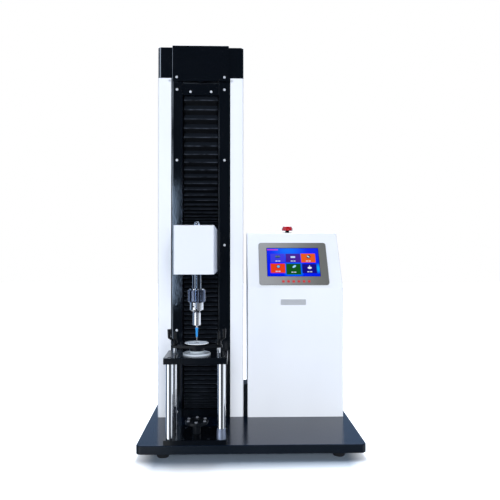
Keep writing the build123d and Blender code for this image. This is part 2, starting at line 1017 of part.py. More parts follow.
def screw_bearings():
    """Bearing blocks at the two ends of the ball screw."""
    blocks = []
    rear = rail_plane
    for levels in (
        (lower_bearing_low, lower_bearing_low + bearing_height),
        (upper_bearing_top - bearing_height, upper_bearing_top),
    ):
        span = (column_x - bearing_width / 2, column_x + bearing_width / 2)
        bearing = block(span, (rear - bearing_depth, rear), levels)
        bearing = chamfer(bearing.edges().filter_by(Axis.Z).sort_by(Axis.Y)[:2], bearing_height / 3)
        bearing -= upright(column_x, screw_y, screw_journal_diameter + 2 * running_clearance, *levels)
        blocks.append(bearing)
    return Compound(children=blocks)


def ball_screw():
    """The screw with its turned ends and the toothed pulley at its foot."""
    journal = screw_journal_diameter / 2
    body = screw_diameter / 2
    low_shoulder = lower_bearing_low + bearing_height + loose_clearance
    high_shoulder = upper_bearing_top - bearing_height - loose_clearance
    screw = turned(
        [
            (0, pulley_low),
            (journal, pulley_low),
            (journal, low_shoulder),
            (body, low_shoulder),
            (body, high_shoulder),
            (journal, high_shoulder),
            (journal, upper_bearing_top),
            (0, upper_bearing_top),
        ],
        column_x,
        screw_y,
    )
    return screw + flanged_pulley(column_x, screw_y, screw_pulley_diameter)


def flanged_pulley(x, y, diameter):
    """A belt pulley with a thin flange above and below the belt."""
    wheel = diameter / 2
    rim = wheel + pulley_flange_reach
    return turned(
        [
            (0, pulley_low),
            (rim, pulley_low),
            (rim, pulley_low + pulley_flange),
            (wheel, pulley_low + pulley_flange),
            (wheel, pulley_top - pulley_flange),
            (rim, pulley_top - pulley_flange),
            (rim, pulley_top),
            (0, pulley_top),
        ],
        x,
        y,
    )


def motor_pulley():
    """The small pulley with the motor's shaft."""
    shaft_top = motor_low + motor_shaft_depth
    shaft = upright(column_x, motor_y, motor_shaft_diameter, pulley_low, shaft_top)
    return flanged_pulley(column_x, motor_y, motor_pulley_diameter) + shaft


def drive_belt():
    """The belt's loop round both pulleys."""
    middle = (pulley_low + pulley_top) / 2

    def loop(grow):
        front = Pos(column_x, screw_y) * Circle(screw_pulley_diameter / 2 + grow)
        rear = Pos(column_x, motor_y) * Circle(motor_pulley_diameter / 2 + grow)
        outline = make_hull(front.edges() + rear.edges())
        return Pos(0, 0, middle - belt_width / 2) * extrude(outline, amount=belt_width, dir=(0, 0, 1))

    return loop(loose_clearance + belt_thickness) - loop(loose_clearance)


def motor_plate():
    """Shelf behind the frame that the motor stands on."""
    span = (column_x - motor_plate_width / 2, column_x + motor_plate_width / 2)
    rear = motor_y + motor_size / 2
    plate = block(span, (frame_rear, rear), (motor_plate_low, motor_low))
    foot_depth = (frame_rear, frame_rear + motor_gap_to_frame)
    plate += block(span, foot_depth, (motor_plate_low, motor_low + motor_size))
    return plate - upright(column_x, motor_y, motor_pilot_diameter, motor_plate_low, motor_low)


def drive_motor():
    """Square servo motor with a pilot, a waisted body and a plug on its side."""
    half = motor_size / 2
    span = (column_x - half, column_x + half)
    body = block(span, (motor_y - half, motor_y + half), (motor_low, motor_low + motor_length))
    body = chamfer(body.edges().filter_by(Axis.Z), motor_corner)
    pilot = motor_pilot_diameter - 2 * loose_clearance
    body += upright(column_x, motor_y, pilot, motor_low - motor_plate_thickness / 2, motor_low)
    plug_low = motor_low + motor_length - 2 * motor_plug_size
    plug_x = (column_x + half, column_x + half + motor_plug_size)
    plug_y = (motor_y - motor_plug_size / 2, motor_y + motor_plug_size / 2)
    body += block(plug_x, plug_y, (plug_low, plug_low + motor_plug_size))
    bore = motor_shaft_diameter + 2 * running_clearance
    bore_top = motor_low + motor_shaft_depth + 1
    return body - upright(column_x, motor_y, bore, motor_low - motor_plate_thickness / 2, bore_top)


def limit_switches():
    """Two small switches on the channel's inner wall, one for each end of the travel."""
    wall = column_x + frame_half_width - frame_wall
    switches = []
    for level in (upper_switch_z, lower_switch_z):
        switch_y = (plate_front, plate_front + switch_depth)
        body = block((wall - switch_size, wall), switch_y, (level, level + switch_height))
        roller_y = (plate_front, plate_front + switch_depth / 2)
        roller = along_y(wall - switch_size, level + switch_height / 2, switch_roller, *roller_y)
        switches.append(body + roller)
    return Compound(children=switches)


def carriage_plate():
    """Plate across the carriages with the boss that holds the ball nut."""
    half = carriage_plate_width / 2
    levels = (head_middle - carriage_plate_height / 2, head_middle + carriage_plate_height / 2)
    plate = block((column_x - half, column_x + half), (plate_front, carriage_front), levels)
    plate = fillet(plate.edges().filter_by(Axis.Y), carriage_plate_corner)
    boss_levels = (head_middle - nut_boss_height / 2, head_middle + nut_boss_height / 2)
    boss_rear = screw_y + nut_body_diameter / 2 + nut_boss_rear_wall
    boss_span = (column_x - nut_boss_width / 2, column_x + nut_boss_width / 2)
    plate += block(boss_span, (carriage_front, boss_rear), boss_levels)
    plate -= upright(column_x, screw_y, nut_body_diameter + 2 * running_clearance, *boss_levels)
    flange = nut_flange_diameter / 2 + 1
    window = (column_x - flange, column_x + flange)
    window_levels = (boss_levels[0] - nut_flange_thickness - 1, boss_levels[0])
    return plate - block(window, (plate_front, carriage_front), window_levels)


def ball_nut():
    boss_low = head_middle - nut_boss_height / 2
    nut = upright(column_x, screw_y, nut_body_diameter, boss_low, boss_low + nut_boss_height)
    flange = upright(column_x, screw_y, nut_flange_diameter, boss_low - nut_flange_thickness, boss_low)
    flats = (screw_y - nut_flange_half_flat, screw_y + nut_flange_half_flat)
    flange &= block(
        (column_x - nut_flange_diameter, column_x + nut_flange_diameter),
        flats,
        (boss_low - nut_flange_thickness, boss_low),
    )
    bore = screw_diameter + 2 * running_clearance
    nut = nut + flange
    return nut - upright(column_x, screw_y, bore, boss_low - nut_flange_thickness, boss_low + nut_boss_height)


def crosshead_arm():
    """Cast arm: a root plate, two tapering cheeks and the plate that the load cell hangs from."""
    root_front = plate_front - arm_root_thickness
    root_levels = (head_middle - arm_root_height / 2, head_middle + arm_root_height / 2)
    half = arm_half_width
    root_half = half + arm_root_overhang
    root = block((load_x - root_half, load_x + root_half), (root_front, plate_front), root_levels)
    nose = load_y - arm_nose_reach
    low = head_rest_z + 2 * head_wall + bellows_plate_thickness
    high = arm_plate_top
    cheek_outline = [
        (root_front, low),
        (root_front, high),
        (nose, high),
        (nose, high - arm_nose_depth),
        (load_y + arm_nose_reach, high - 2 * arm_nose_depth),
        (bellows_front, low),
    ]
    arm = root
    for side in (-1, 1):
        x = load_x + side * (half - arm_cheek_thickness / 2)
        face = make_face(Polyline(*[(x, y, z) for y, z in cheek_outline], close=True))
        arm += extrude(face, amount=arm_cheek_thickness / 2, both=True, dir=(1, 0, 0))
    plate_depth = (nose, load_y + arm_nose_reach)
    arm += block((load_x - half, load_x + half), plate_depth, (arm_plate_low, arm_plate_top))
    middle = (load_y + arm_nose_reach + bellows_front) / 2
    hole = Pos(load_x, middle, high - arm_lightening_drop) * Rot(0, 90, 0)
    arm -= hole * Cylinder(arm_lightening_diameter / 2, 4 * half)
    arm -= upright(load_x, load_y, cell_stud_diameter + 2 * screw_clearance, arm_plate_low, arm_plate_top)
    for level in (head_rest_z + head_wall, head_top - head_wall - bellows_plate_thickness):
        span = (column_x - bellows_half_width, column_x + bellows_half_width)
        arm += block(span, (bellows_front, root_front), (level, level + bellows_plate_thickness))
    return arm


def head_cover():
    """Folded white cover over the arm, open towards the column."""
    span = (head_x - head_width / 2, head_x + head_width / 2)
    cover = block(span, (head_front, head_rear), (head_rest_z, head_top))
    cover = fillet(cover.edges().filter_by(Axis.Z).sort_by(Axis.Y)[:2], head_corner_radius)
    cover = fillet(cover.faces().sort_by(Axis.Y)[0].edges().filter_by(Axis.X), head_wall / 2)
    inner = (span[0] + head_wall, span[1] - head_wall)
    levels = (head_rest_z + head_wall, head_top - head_wall)
    cover -= block(inner, (head_front + head_wall, head_rear), levels)
    cover -= upright(load_x, load_y, rod_exit_diameter, head_rest_z, head_rest_z + head_wall)
    hole = cell_stud_diameter + 2 * screw_clearance
    return cover - upright(load_x, load_y, hole, head_top - head_wall, head_top)


def load_cell():
    """S-shaped beam cell: two opposed slots joined through a central eye."""
    span = (load_x - cell_width / 2, load_x + cell_width / 2)
    depth = (load_y - cell_thickness / 2, load_y + cell_thickness / 2)
    cell = block(span, depth, (cell_low, cell_top))
    middle = (cell_low + cell_top) / 2
    slot = cell_height / 4
    gap = cell_slot / 2
    for side in (-1, 1):
        level = middle + side * slot
        open_end = load_x + side * cell_width / 2
        closed_end = load_x - side * cell_width / 4
        cell -= block(ordered(open_end, closed_end), depth, (level - gap, level + gap))
    cell -= along_y(load_x, middle, cell_eye_diameter, *depth)
    hole = cell_stud_diameter + 2 * screw_clearance
    cell -= upright(load_x, load_y, hole, cell_low, cell_low + cell_stud_depth)
    return cell - upright(load_x, load_y, hole, cell_top - cell_stud_depth, cell_top)


def head_cap_nut():
    """Domed hexagon nut on the cover with the stud that carries the load cell."""
    stud_low = cell_top - cell_stud_depth + 1
    hexagon = Pos(load_x, load_y, head_top) * RegularPolygon(cap_nut_diameter / 2, 6)
    nut = extrude(hexagon, amount=cap_nut_hex_height, dir=(0, 0, 1))
    dome = upright(load_x, load_y, cap_nut_dome_diameter, head_top, head_top + cap_nut_height)
    nut += fillet(dome.faces().sort_by(Axis.Z)[-1].edges(), cap_nut_height - cap_nut_hex_height - 1)
    return nut + upright(load_x, load_y, cell_stud_diameter, stud_low, head_top)


def load_rod():
    """Rod between the load cell and the chuck."""
    stud_top = cell_low + cell_stud_depth - 1
    rod = upright(load_x, load_y, rod_diameter, chuck_top_z, cell_low)
    return rod + upright(load_x, load_y, cell_stud_diameter, cell_low, stud_top)


def chuck_body():
    """Core, crown and nose of the drill chuck, bored for the needle holder."""
    core = chuck_core_diameter / 2
    crown = chuck_crown_diameter / 2
    body = chuck_body_diameter / 2
    nose = chuck_nose_diameter / 2
    bore = holder_shank_diameter / 2 + running_clearance
    low = chuck_sleeve_low
    chuck = turned(
        [
            (0, chuck_top_z),
            (crown, chuck_top_z),
            (crown, chuck_sleeve_top),
            (core, chuck_sleeve_top),
            (core, low),
            (body, low),
            (body, low - chuck_body_height),
            (nose, chuck_nose_z),
            (bore, chuck_nose_z),
            (bore, chuck_nose_z + holder_shank_depth + 1),
            (0, chuck_nose_z + holder_shank_depth + 1),
        ],
        load_x,
        load_y,
    )
    for i in range(chuck_key_holes):
        turn = Rot(0, 0, 360 / chuck_key_holes * i)
        hole = Pos(load_x, load_y, low - chuck_body_height / 2) * turn * Rot(0, 90, 0) * Pos(0, 0, body)
        chuck -= hole * Cylinder(chuck_key_hole_diameter / 2, 2 * chuck_key_hole_depth)
    return chuck


def chuck_sleeve():
    """Fluted sleeve that turns round the chuck's core."""
    outer = chuck_sleeve_diameter / 2
    bore = chuck_core_diameter / 2 + running_clearance
    high = chuck_sleeve_top - running_clearance
    low = chuck_sleeve_low + running_clearance
    sleeve = turned(
        [
            (bore, high),
            (outer - chuck_sleeve_edge, high),
            (outer, high - chuck_sleeve_edge),
            (outer, low + chuck_sleeve_chamfer),
            (outer - chuck_sleeve_chamfer, low),
            (bore, low),
        ],
        load_x,
        load_y,
    )
    for i in range(chuck_flute_count):
        turn = Rot(0, 0, 360 / chuck_flute_count * i)
        place = Pos(load_x, load_y, (high + low) / 2) * turn
        reach = outer + chuck_flute_radius - chuck_flute_depth
        sleeve -= place * Pos(reach, 0, 0) * Cylinder(chuck_flute_radius, high - low)
    return sleeve


def needle_holder():
    radius = holder_diameter / 2
    shank = holder_shank_diameter / 2
    luer = luer_diameter / 2
    return turned(
        [
            (0, chuck_nose_z + holder_shank_depth),
            (shank, chuck_nose_z + holder_shank_depth),
            (shank, chuck_nose_z),
            (radius - holder_edge, chuck_nose_z),
            (radius, chuck_nose_z - holder_edge),
            (radius, holder_low + holder_edge),
            (radius - holder_edge, holder_low),
            (luer, holder_low),
            (luer, hub_top),
            (0, hub_top),
        ],
        load_x,
        load_y,
    )


def needle_hub():
    top = hub_top_diameter / 2
    low = hub_low_diameter / 2
    return turned(
        [
            (0, hub_top),
            (top, hub_top),
            (top, hub_top - hub_rim_height),
            (top - hub_rim_reach, hub_top - hub_rim_height),
            (low, hub_low + hub_tip_height),
            (low - hub_tip_taper, hub_low),
            (0, hub_low),
        ],
        load_x,
        load_y,
    )


def needle():
    radius = needle_diameter / 2
    tip = hub_low - needle_reach
    shaft = upright(load_x, load_y, needle_diameter, tip, hub_low)
    bevel_outline = [
        (load_x - radius, load_y, tip + needle_point_length),
        (load_x + radius, load_y, tip),
        (load_x - radius, load_y, tip),
    ]
    bevel = make_face(Polyline(*bevel_outline, close=True))
    return shaft - extrude(bevel, amount=needle_diameter, both=True, dir=(0, 1, 0))


def table_plate(levels):
    span = (load_x - table_width / 2, load_x + table_width / 2)
    depth = (load_y - table_depth / 2, load_y + table_depth / 2)
    return round_uprights(block(span, depth, levels), table_corner_radius)


def fixture_bottom_plate():
    plate = table_plate((base_top, table_low_top))
    for x, y in low_screw_places():
        plate -= upright(x, y, m6_shank + 2 * screw_clearance, base_top, table_low_top)
        plate -= upright(x, y, m6_head + screw_head_room, table_low_top - counterbore_depth, table_low_top)
    return plate


def fixture_top_plate():
    plate = table_plate((table_under, table_top))
    plate = chamfer(plate.faces().sort_by(Axis.Z)[-1].edges(), table_edge)
    plate -= upright(load_x, load_y, table_bore_diameter, table_under, table_top)
    for x, y in post_places():
        plate -= upright(x, y, m6_shank + 2 * screw_clearance, table_under, table_top)
        plate -= upright(x, y, m6_head + screw_head_room, table_top - counterbore_depth, table_top)
    return plate


def fixture_posts():
    posts = []
    for x, y in post_places():
        post = upright(x, y, post_diameter, table_low_top, table_under)
        post = chamfer(post.edges(), post_edge)
        thread_low = table_under - post_thread_depth
        post -= upright(x, y, m6_shank + 2 * screw_clearance, thread_low, table_under)
        posts.append(post)
    return Compound(children=posts)


def post_collar():
    """Tapered collar at the foot of the front right post."""
    x = load_x + post_pitch_x / 2
    y = load_y - post_pitch_y / 2
    bore = post_diameter / 2 + loose_clearance / 2
    outer = post_collar_diameter / 2
    high = table_low_top + post_collar_height
    return turned(
        [
            (bore, table_low_top),
            (outer, table_low_top),
            (outer, table_low_top + post_collar_band),
            (bore + post_collar_top_wall, high),
            (bore, high),
        ],
        x,
        y,
    )


def fixture_screws():
    """Socket-head screws of the fixture and of the lower adapter."""
    screws = []
    for x, y in post_places():
        seat = table_top - counterbore_depth
        screws.append(socket_screw_down(x, y, seat, table_top_thickness, m6_shank, m6_head, m6_head_height))
    for x, y in low_screw_places():
        seat = table_low_top - counterbore_depth
        reach = table_low_thickness - counterbore_depth + foot_screw_reach - 1
        screws.append(socket_screw_down(x, y, seat, reach, m6_shank, m6_head, m6_head_height))
    for x, y in adapter_screw_places():
        reach = adapter_disc_height - 1
        screws.append(socket_screw_down(x, y, adapter_top, reach, m4_shank, m4_head, m4_head_height))
    return Compound(children=screws)


def lower_adapter():
    """Round seat for other tools: a bored stem with a screwed flange."""
    stem = upright(load_x, load_y, adapter_stem_diameter, table_low_top, adapter_disc_low)
    disc = upright(load_x, load_y, adapter_disc_diameter, adapter_disc_low, adapter_top)
    disc = chamfer(disc.edges(), adapter_edge)
    adapter = stem + disc
    adapter -= upright(load_x, load_y, adapter_bore_diameter, adapter_top - adapter_bore_depth, adapter_top)
    for x, y in adapter_screw_places():
        adapter -= upright(x, y, m4_shank + 2 * screw_clearance, adapter_disc_low, adapter_top)
    return adapter


def lower_clamp_ring():
    outer = clamp_low_diameter / 2
    bore = table_bore_diameter / 2
    dish = clamp_boss_diameter / 2 + clamp_low_dish_gap
    return turned(
        [
            (bore, table_top),
            (outer, table_top),
            (outer, clamp_low_top - clamp_low_edge),
            (outer - clamp_low_edge, clamp_low_top),
            (dish + clamp_low_dish_width, clamp_low_top),
            (dish + clamp_low_dish_width / 2, clamp_low_top - clamp_low_dish),
            (dish, clamp_low_top),
            (bore, clamp_low_top),
        ],
        load_x,
        load_y,
    )


def clamp_standoffs():
    pillars = []
    for x, y in standoff_places():
        pillar = upright(x, y, standoff_diameter, table_top, standoff_top)
        bore = lever_screw_diameter + 2 * running_clearance
        pillars.append(pillar - upright(x, y, bore, table_top + standoff_floor, standoff_top))
    return Compound(children=pillars)


def clamp_bar():
    """Bar across the standoffs with the boss that presses the specimen."""
    circles = [Pos(x, y) * Circle(clamp_bar_end_radius) for x, y in standoff_places()]
    circles.append(Pos(load_x, load_y) * Circle(clamp_bar_middle_radius))
    edges = [edge for circle in circles for edge in circle.edges()]
    bar = Pos(0, 0, standoff_top) * extrude(make_hull(edges), amount=clamp_bar_thickness, dir=(0, 0, 1))
    bar += upright(load_x, load_y, clamp_boss_diameter, clamp_low_top + specimen_gap, standoff_top)
    bar -= upright(load_x, load_y, clamp_hole_diameter, clamp_low_top, clamp_bar_top)
    for x, y in standoff_places():
        bar -= upright(x, y, lever_screw_diameter + 2 * running_clearance, standoff_top, clamp_bar_top)
    return bar


def upper_clamp_ring():
    """Thin light disc on a neck, with a coned mouth that guides the needle."""
    outer = clamp_disc_diameter / 2
    neck = clamp_disc_neck_diameter / 2
    bore = clamp_hole_diameter / 2
    rim_low = clamp_disc_top - clamp_disc_rim
    return turned(
        [
            (bore, clamp_bar_top),
            (neck, clamp_bar_top),
            (neck, rim_low),
            (outer - clamp_disc_edge, rim_low),
            (outer, rim_low + clamp_disc_edge),
            (outer, clamp_disc_top - clamp_disc_edge),
            (outer - clamp_disc_edge, clamp_disc_top),
            (bore + clamp_mouth_reach, clamp_disc_top),
            (bore, clamp_disc_top - clamp_mouth_depth),
        ],
        load_x,
        load_y,
    )


def lever_hub(x, y):
    """Skirted hub of a clamping lever with its spindle above and its screw below."""
    low = clamp_bar_top
    skirt = lever_hub_diameter / 2
    neck = lever_hub_top_diameter / 2
    spindle = lever_spindle_diameter / 2
    hub_high = low + lever_hub_height
    spindle_high = hub_high + lever_spindle_height
    hub = turned(
        [
            (0, low),
            (skirt - lever_hub_edge, low),
            (skirt, low + lever_hub_edge),
            (skirt, low + lever_hub_skirt),
            (neck, hub_high - lever_hub_edge),
            (neck - lever_hub_edge, hub_high),
            (spindle, hub_high),
            (spindle, spindle_high - lever_spindle_edge),
            (spindle - lever_spindle_edge, spindle_high),
            (0, spindle_high),
        ],
        x,
        y,
    )
    return hub + upright(x, y, lever_screw_diameter, low - clamp_bar_thickness - lever_screw_depth, low)


def clamp_lever(place, heading):
    """Clamping lever: hub, rising arm and an upright grip that widens towards its top."""
    turn = radians(heading)
    start = Vector(*place, clamp_bar_top + lever_hub_height / 2)
    end = start + Vector(lever_arm_reach * cos(turn), lever_arm_reach * sin(turn), lever_arm_rise)
    run = end - start
    arm = Plane(origin=start + run / 2, z_dir=run).location * Cylinder(lever_arm_diameter / 2, run.length)
    foot = lever_grip_foot_diameter / 2
    top = lever_grip_diameter / 2
    grip = Pos(end.X, end.Y, end.Z - lever_arm_diameter / 2) * Cone(
        foot, top, lever_grip_height, align=(Align.CENTER, Align.CENTER, Align.MIN)
    )
    grip = fillet(grip.edges(), foot / 2)
    return lever_hub(*place) + arm + grip


def left_clamp_lever():
    return clamp_lever(standoff_places()[0], left_lever_heading)


def right_clamp_lever():
    return clamp_lever(standoff_places()[1], right_lever_heading)


def box_outline(inset):
    """Side outline of the control box as (y, z), moved inwards by an inset."""
    slant = radians(box_slant_deg)
    front = box_front + inset
    bend = box_bend_z - inset * tan(slant / 2)
    top = box_top - inset
    run = (top - bend) * tan(slant)
    return [(front, base_top), (front, bend), (front + run, top), (panel_front, top), (panel_front, base_top)]


def on_folded_face(edge):
    """Whether an edge of the housing is clear of its open rear and of its foot."""
    return edge.center().Y < panel_front - 1 and edge.center().Z > base_top + 1


def control_box_shell():
    """Folded housing: upright front, slanted screen face and flat top, open behind."""
    middle = box_left + box_width / 2
    outline = [(middle, y, z) for y, z in box_outline(0)]
    body = extrude(make_face(Polyline(*outline, close=True)), amount=box_width / 2, both=True, dir=(1, 0, 0))
    body = fillet([e for e in body.edges().filter_by(Axis.X) if on_folded_face(e)], box_bend_radius)
    rims = [e for side in body.faces().filter_by(Axis.X) for e in side.edges() if on_folded_face(e)]
    body = fillet(rims, box_side_radius)
    hollow = [(middle, y, z) for y, z in box_outline(box_wall)]
    inner = extrude(
        make_face(Polyline(*hollow, close=True)),
        amount=box_width / 2 - box_wall,
        both=True,
        dir=(1, 0, 0),
    )
    lip_depth = (panel_front - box_wall, panel_front)
    mouth_x = (box_left + box_lip, box_right - box_lip)
    frame = block((box_left, box_right), lip_depth, (base_top, box_top))
    mouth = block(mouth_x, lip_depth, (base_top, box_top - box_lip))
    shell = body - (inner - (frame - mouth))
    window_width = glass_width - 2 * glass_window_border
    window_height = glass_height - 2 * glass_window_border
    window = Box(window_width, window_height, 4 * box_wall)
    shell -= slope_place(0, bezel_lift + glass_lift + glass_height / 2, 0) * window
    barrel_hole = estop_barrel_diameter + 2 * screw_clearance
    shell -= upright(estop_x, estop_y, barrel_hole, box_top - box_wall, box_top)
    for x, z in panel_screw_places():
        shell -= along_y(x, z, m4_shank + 2 * screw_clearance, *lip_depth)
    return shell


def control_box_back():
    """Flat back panel with vents, the inlet's cut-out and its screw holes."""
    depth = (panel_front, box_back)
    panel = block((box_left, box_right), depth, (base_top, box_top))
    vent_x = box_left + vent_side_inset
    for i in range(vent_count):
        level = base_top + vent_lift + vent_pitch * i
        slot = (vent_x - vent_width / 2, vent_x + vent_width / 2)
        panel -= block(slot, depth, (level, level + vent_slot))
    half = inlet_width / 2 - inlet_flange_border + glass_clearance
    tall = inlet_height / 2 - inlet_flange_border + glass_clearance
    panel -= block((inlet_x - half, inlet_x + half), depth, (inlet_z - tall, inlet_z + tall))
    for x, z in panel_screw_places():
        panel -= along_y(x, z, m4_shank + 2 * screw_clearance, *depth)
    return panel


def screen_bezel():
    """Raised frame of the touch screen."""
    frame = Box(bezel_width, bezel_height, bezel_thickness)
    frame = fillet(frame.edges().filter_by(Axis.Z), bezel_corner_radius)
    frame = chamfer(frame.faces().sort_by(Axis.Z)[-1].edges(), bezel_edge)
    lift = glass_lift + glass_height / 2 - bezel_height / 2
    window = Box(glass_width + 2 * glass_clearance, glass_height + 2 * glass_clearance, bezel_thickness)
    frame -= Pos(0, lift, 0) * window
    return slope_place(0, bezel_lift + bezel_height / 2, bezel_thickness / 2) * frame


def screen_glass():
    thickness = bezel_thickness - glass_recess
    pane = Box(glass_width, glass_height, thickness)
    return slope_place(0, bezel_lift + glass_lift + glass_height / 2, thickness / 2) * pane


def badge_plate():
    level = box_bend_z - badge_drop
    span = (badge_x - badge_width / 2, badge_x + badge_width / 2)
    levels = (level - badge_height / 2, level + badge_height / 2)
    plate = block(span, (box_front - badge_thickness, box_front), levels)
    return fillet(plate.edges().filter_by(Axis.Y), badge_corner_radius)


def estop_collar():
    """Bezel ring and threaded barrel of the emergency stop."""
    collar = upright(estop_x, estop_y, estop_collar_diameter, box_top, box_top + estop_collar_height)
    collar = chamfer(collar.faces().sort_by(Axis.Z)[-1].edges(), estop_collar_edge)
    collar += upright(estop_x, estop_y, estop_barrel_diameter, box_top - estop_barrel_depth, box_top)
    bore = estop_stem_diameter + 2 * running_clearance
    high = box_top + estop_collar_height
    return collar - upright(estop_x, estop_y, bore, box_top - estop_barrel_depth, high)


def estop_stem():
    stem_low = box_top - estop_barrel_depth + estop_travel + 1
    stem = upright(estop_x, estop_y, estop_stem_diameter, stem_low, estop_neck_low)
    neck_high = estop_neck_low + estop_neck_height
    return stem + upright(estop_x, estop_y, estop_neck_diameter, estop_neck_low, neck_high)


def estop_head():
    """Mushroom head, hollow below for the stem's neck, with three finger hollows."""
    radius = estop_head_diameter / 2
    pocket = estop_neck_diameter / 2 + loose_clearance
    high = estop_head_low + estop_head_height
    roof = estop_neck_low + estop_neck_height
    head = turned(
        [
            (0, roof),
            (pocket, roof),
            (pocket, estop_head_low),
            (radius - estop_head_edge, estop_head_low),
            (radius, estop_head_low + estop_head_edge),
            (radius, estop_head_low + estop_head_skirt),
            (radius - estop_head_edge, high - estop_head_crown_radius),
            (radius - estop_head_shoulder, high - estop_head_crown_radius / 3),
            (radius - estop_head_crown_radius, high),
            (0, high),
        ],
        estop_x,
        estop_y,
    )
    for i in range(estop_finger_hollows):
        turn = Rot(0, 0, 360 / estop_finger_hollows * i)
        place = Pos(estop_x, estop_y, high - estop_head_shoulder) * turn
        hollow = Cylinder(estop_hollow_diameter / 2, estop_hollow_height)
        head -= place * Pos(radius + estop_hollow_setback, 0, 0) * hollow
    return head


def power_inlet():
    """Mains inlet and switch frame: flange, body, socket with three blades, rocker well."""
    half = inlet_width / 2
    tall = inlet_height / 2
    body_half = half - inlet_flange_border
    body_tall = tall - inlet_flange_border
    flange_y = (box_back, box_back + inlet_flange)
    flange = block((inlet_x - half, inlet_x + half), flange_y, (inlet_z - tall, inlet_z + tall))
    flange = fillet(flange.edges().filter_by(Axis.Y), inlet_flange_border)
    body_y = (box_back - inlet_body_depth, box_back)
    inlet = flange + block(
        (inlet_x - body_half, inlet_x + body_half), body_y, (inlet_z - body_tall, inlet_z + body_tall)
    )
    face = box_back + inlet_flange
    socket_z = inlet_z - socket_drop
    socket = block(
        (inlet_x - socket_width / 2, inlet_x + socket_width / 2),
        (face - socket_depth, face),
        (socket_z - socket_height / 2, socket_z + socket_height / 2),
    )
    inlet -= chamfer(socket.edges().filter_by(Axis.Y).sort_by(Axis.Z)[-2:], socket_height / 4)
    for across, up in ((-blade_pitch / 2, -blade_rise), (0, blade_rise), (blade_pitch / 2, -blade_rise)):
        x = inlet_x + across
        z = socket_z + up
        inlet += block(
            (x - blade_thickness / 2, x + blade_thickness / 2),
            (face - socket_depth, face - socket_depth + blade_length),
            (z - blade_width / 2, z + blade_width / 2),
        )
    well_half = rocker_width / 2 + loose_clearance
    well_tall = rocker_height / 2 + rocker_well_room
    well_x = (inlet_x - well_half, inlet_x + well_half)
    well_y = (rocker_y - rocker_depth, face)
    inlet -= block(well_x, well_y, (rocker_z - well_tall, rocker_z + well_tall))
    pin = rocker_pin_diameter + 2 * running_clearance
    pin_reach = rocker_width + 2 * rocker_pin_length + 2 * loose_clearance
    return inlet - Pos(inlet_x, rocker_y, rocker_z) * Rot(0, 90, 0) * Cylinder(pin / 2, pin_reach)


def power_rocker():
    """Rocker with a shallow valley across its face, tipped to one side."""
    half = rocker_height / 2
    face = rocker_depth / 2
    outline = [
        (-face, -rocker_heel_height / 2),
        (-face, rocker_heel_height / 2),
        (0, half),
        (face, half),
        (face - rocker_valley, 0),
        (face, -half),
        (0, -half),
    ]
    side = make_face(Polyline(*[(0, y, z) for y, z in outline], close=True))
    rocker = extrude(side, amount=rocker_width / 2, both=True, dir=(1, 0, 0))
    pins = Rot(0, 90, 0) * Cylinder(rocker_pin_diameter / 2, rocker_width + 2 * rocker_pin_length)
    return Pos(inlet_x, rocker_y, rocker_z) * Rot(rocker_tilt_deg, 0, 0) * (rocker + pins)


def controller_board():
    """Circuit board on four pillars behind the screen, with its larger parts."""
    face = panel_front - board_pillar_height
    left = box_left + board_side_inset
    low = base_top + board_lift
    span = (left, left + board_width)
    levels = (low, low + board_height)
    board = block(span, (face - board_thickness, face), levels)
    for x in (span[0] + board_pillar_inset, span[1] - board_pillar_inset):
        for z in (levels[0] + board_pillar_inset, levels[1] - board_pillar_inset):
            board += along_y(x, z, board_pillar_diameter, face - board_thickness, panel_front)
    front = face - board_thickness
    for across, up, width, height, depth in (
        (processor_left, processor_lift, processor_size, processor_size, processor_height),
        (terminal_left, terminal_lift, terminal_length, terminal_height, terminal_depth),
        (driver_left, driver_lift, driver_width, driver_height, driver_depth),
    ):
        part_x = (left + across, left + across + width)
        part_z = (low + up, low + up + height)
        board += block(part_x, (front - depth, front), part_z)
    capacitor_x = left + capacitor_left
    capacitor_z = low + capacitor_lift
    return board + along_y(capacitor_x, capacitor_z, capacitor_diameter, front - capacitor_height, front)


def power_supply():
    """Enclosed supply that stands on the base plate."""
    right = box_right - box_wall - supply_side_inset
    rear = panel_front - supply_back_gap
    span = (right - supply_width, right)
    body = block(span, (rear - supply_depth, rear), (base_top, base_top + supply_height))
    terminal_x = (span[0] + supply_terminal_inset, span[1] - supply_terminal_inset)
    supply_top = base_top + supply_height
    terminal_z = (supply_top - supply_terminal_height, supply_top)
    return body - block(terminal_x, (rear - supply_depth, rear - supply_depth / 2), terminal_z)


def cable_gap_cover():
    """Black block that hides the wiring between the column and the control box."""
    span = (column_x + column_half_width + gap_cover_clearance, box_left - gap_cover_clearance)
    front = box_front + gap_cover_setback
    cover = block(span, (front, front + gap_cover_depth), (base_top, base_top + gap_cover_height))
    return fillet(cover.faces().sort_by(Axis.Y)[0].edges(), gap_cover_edge)


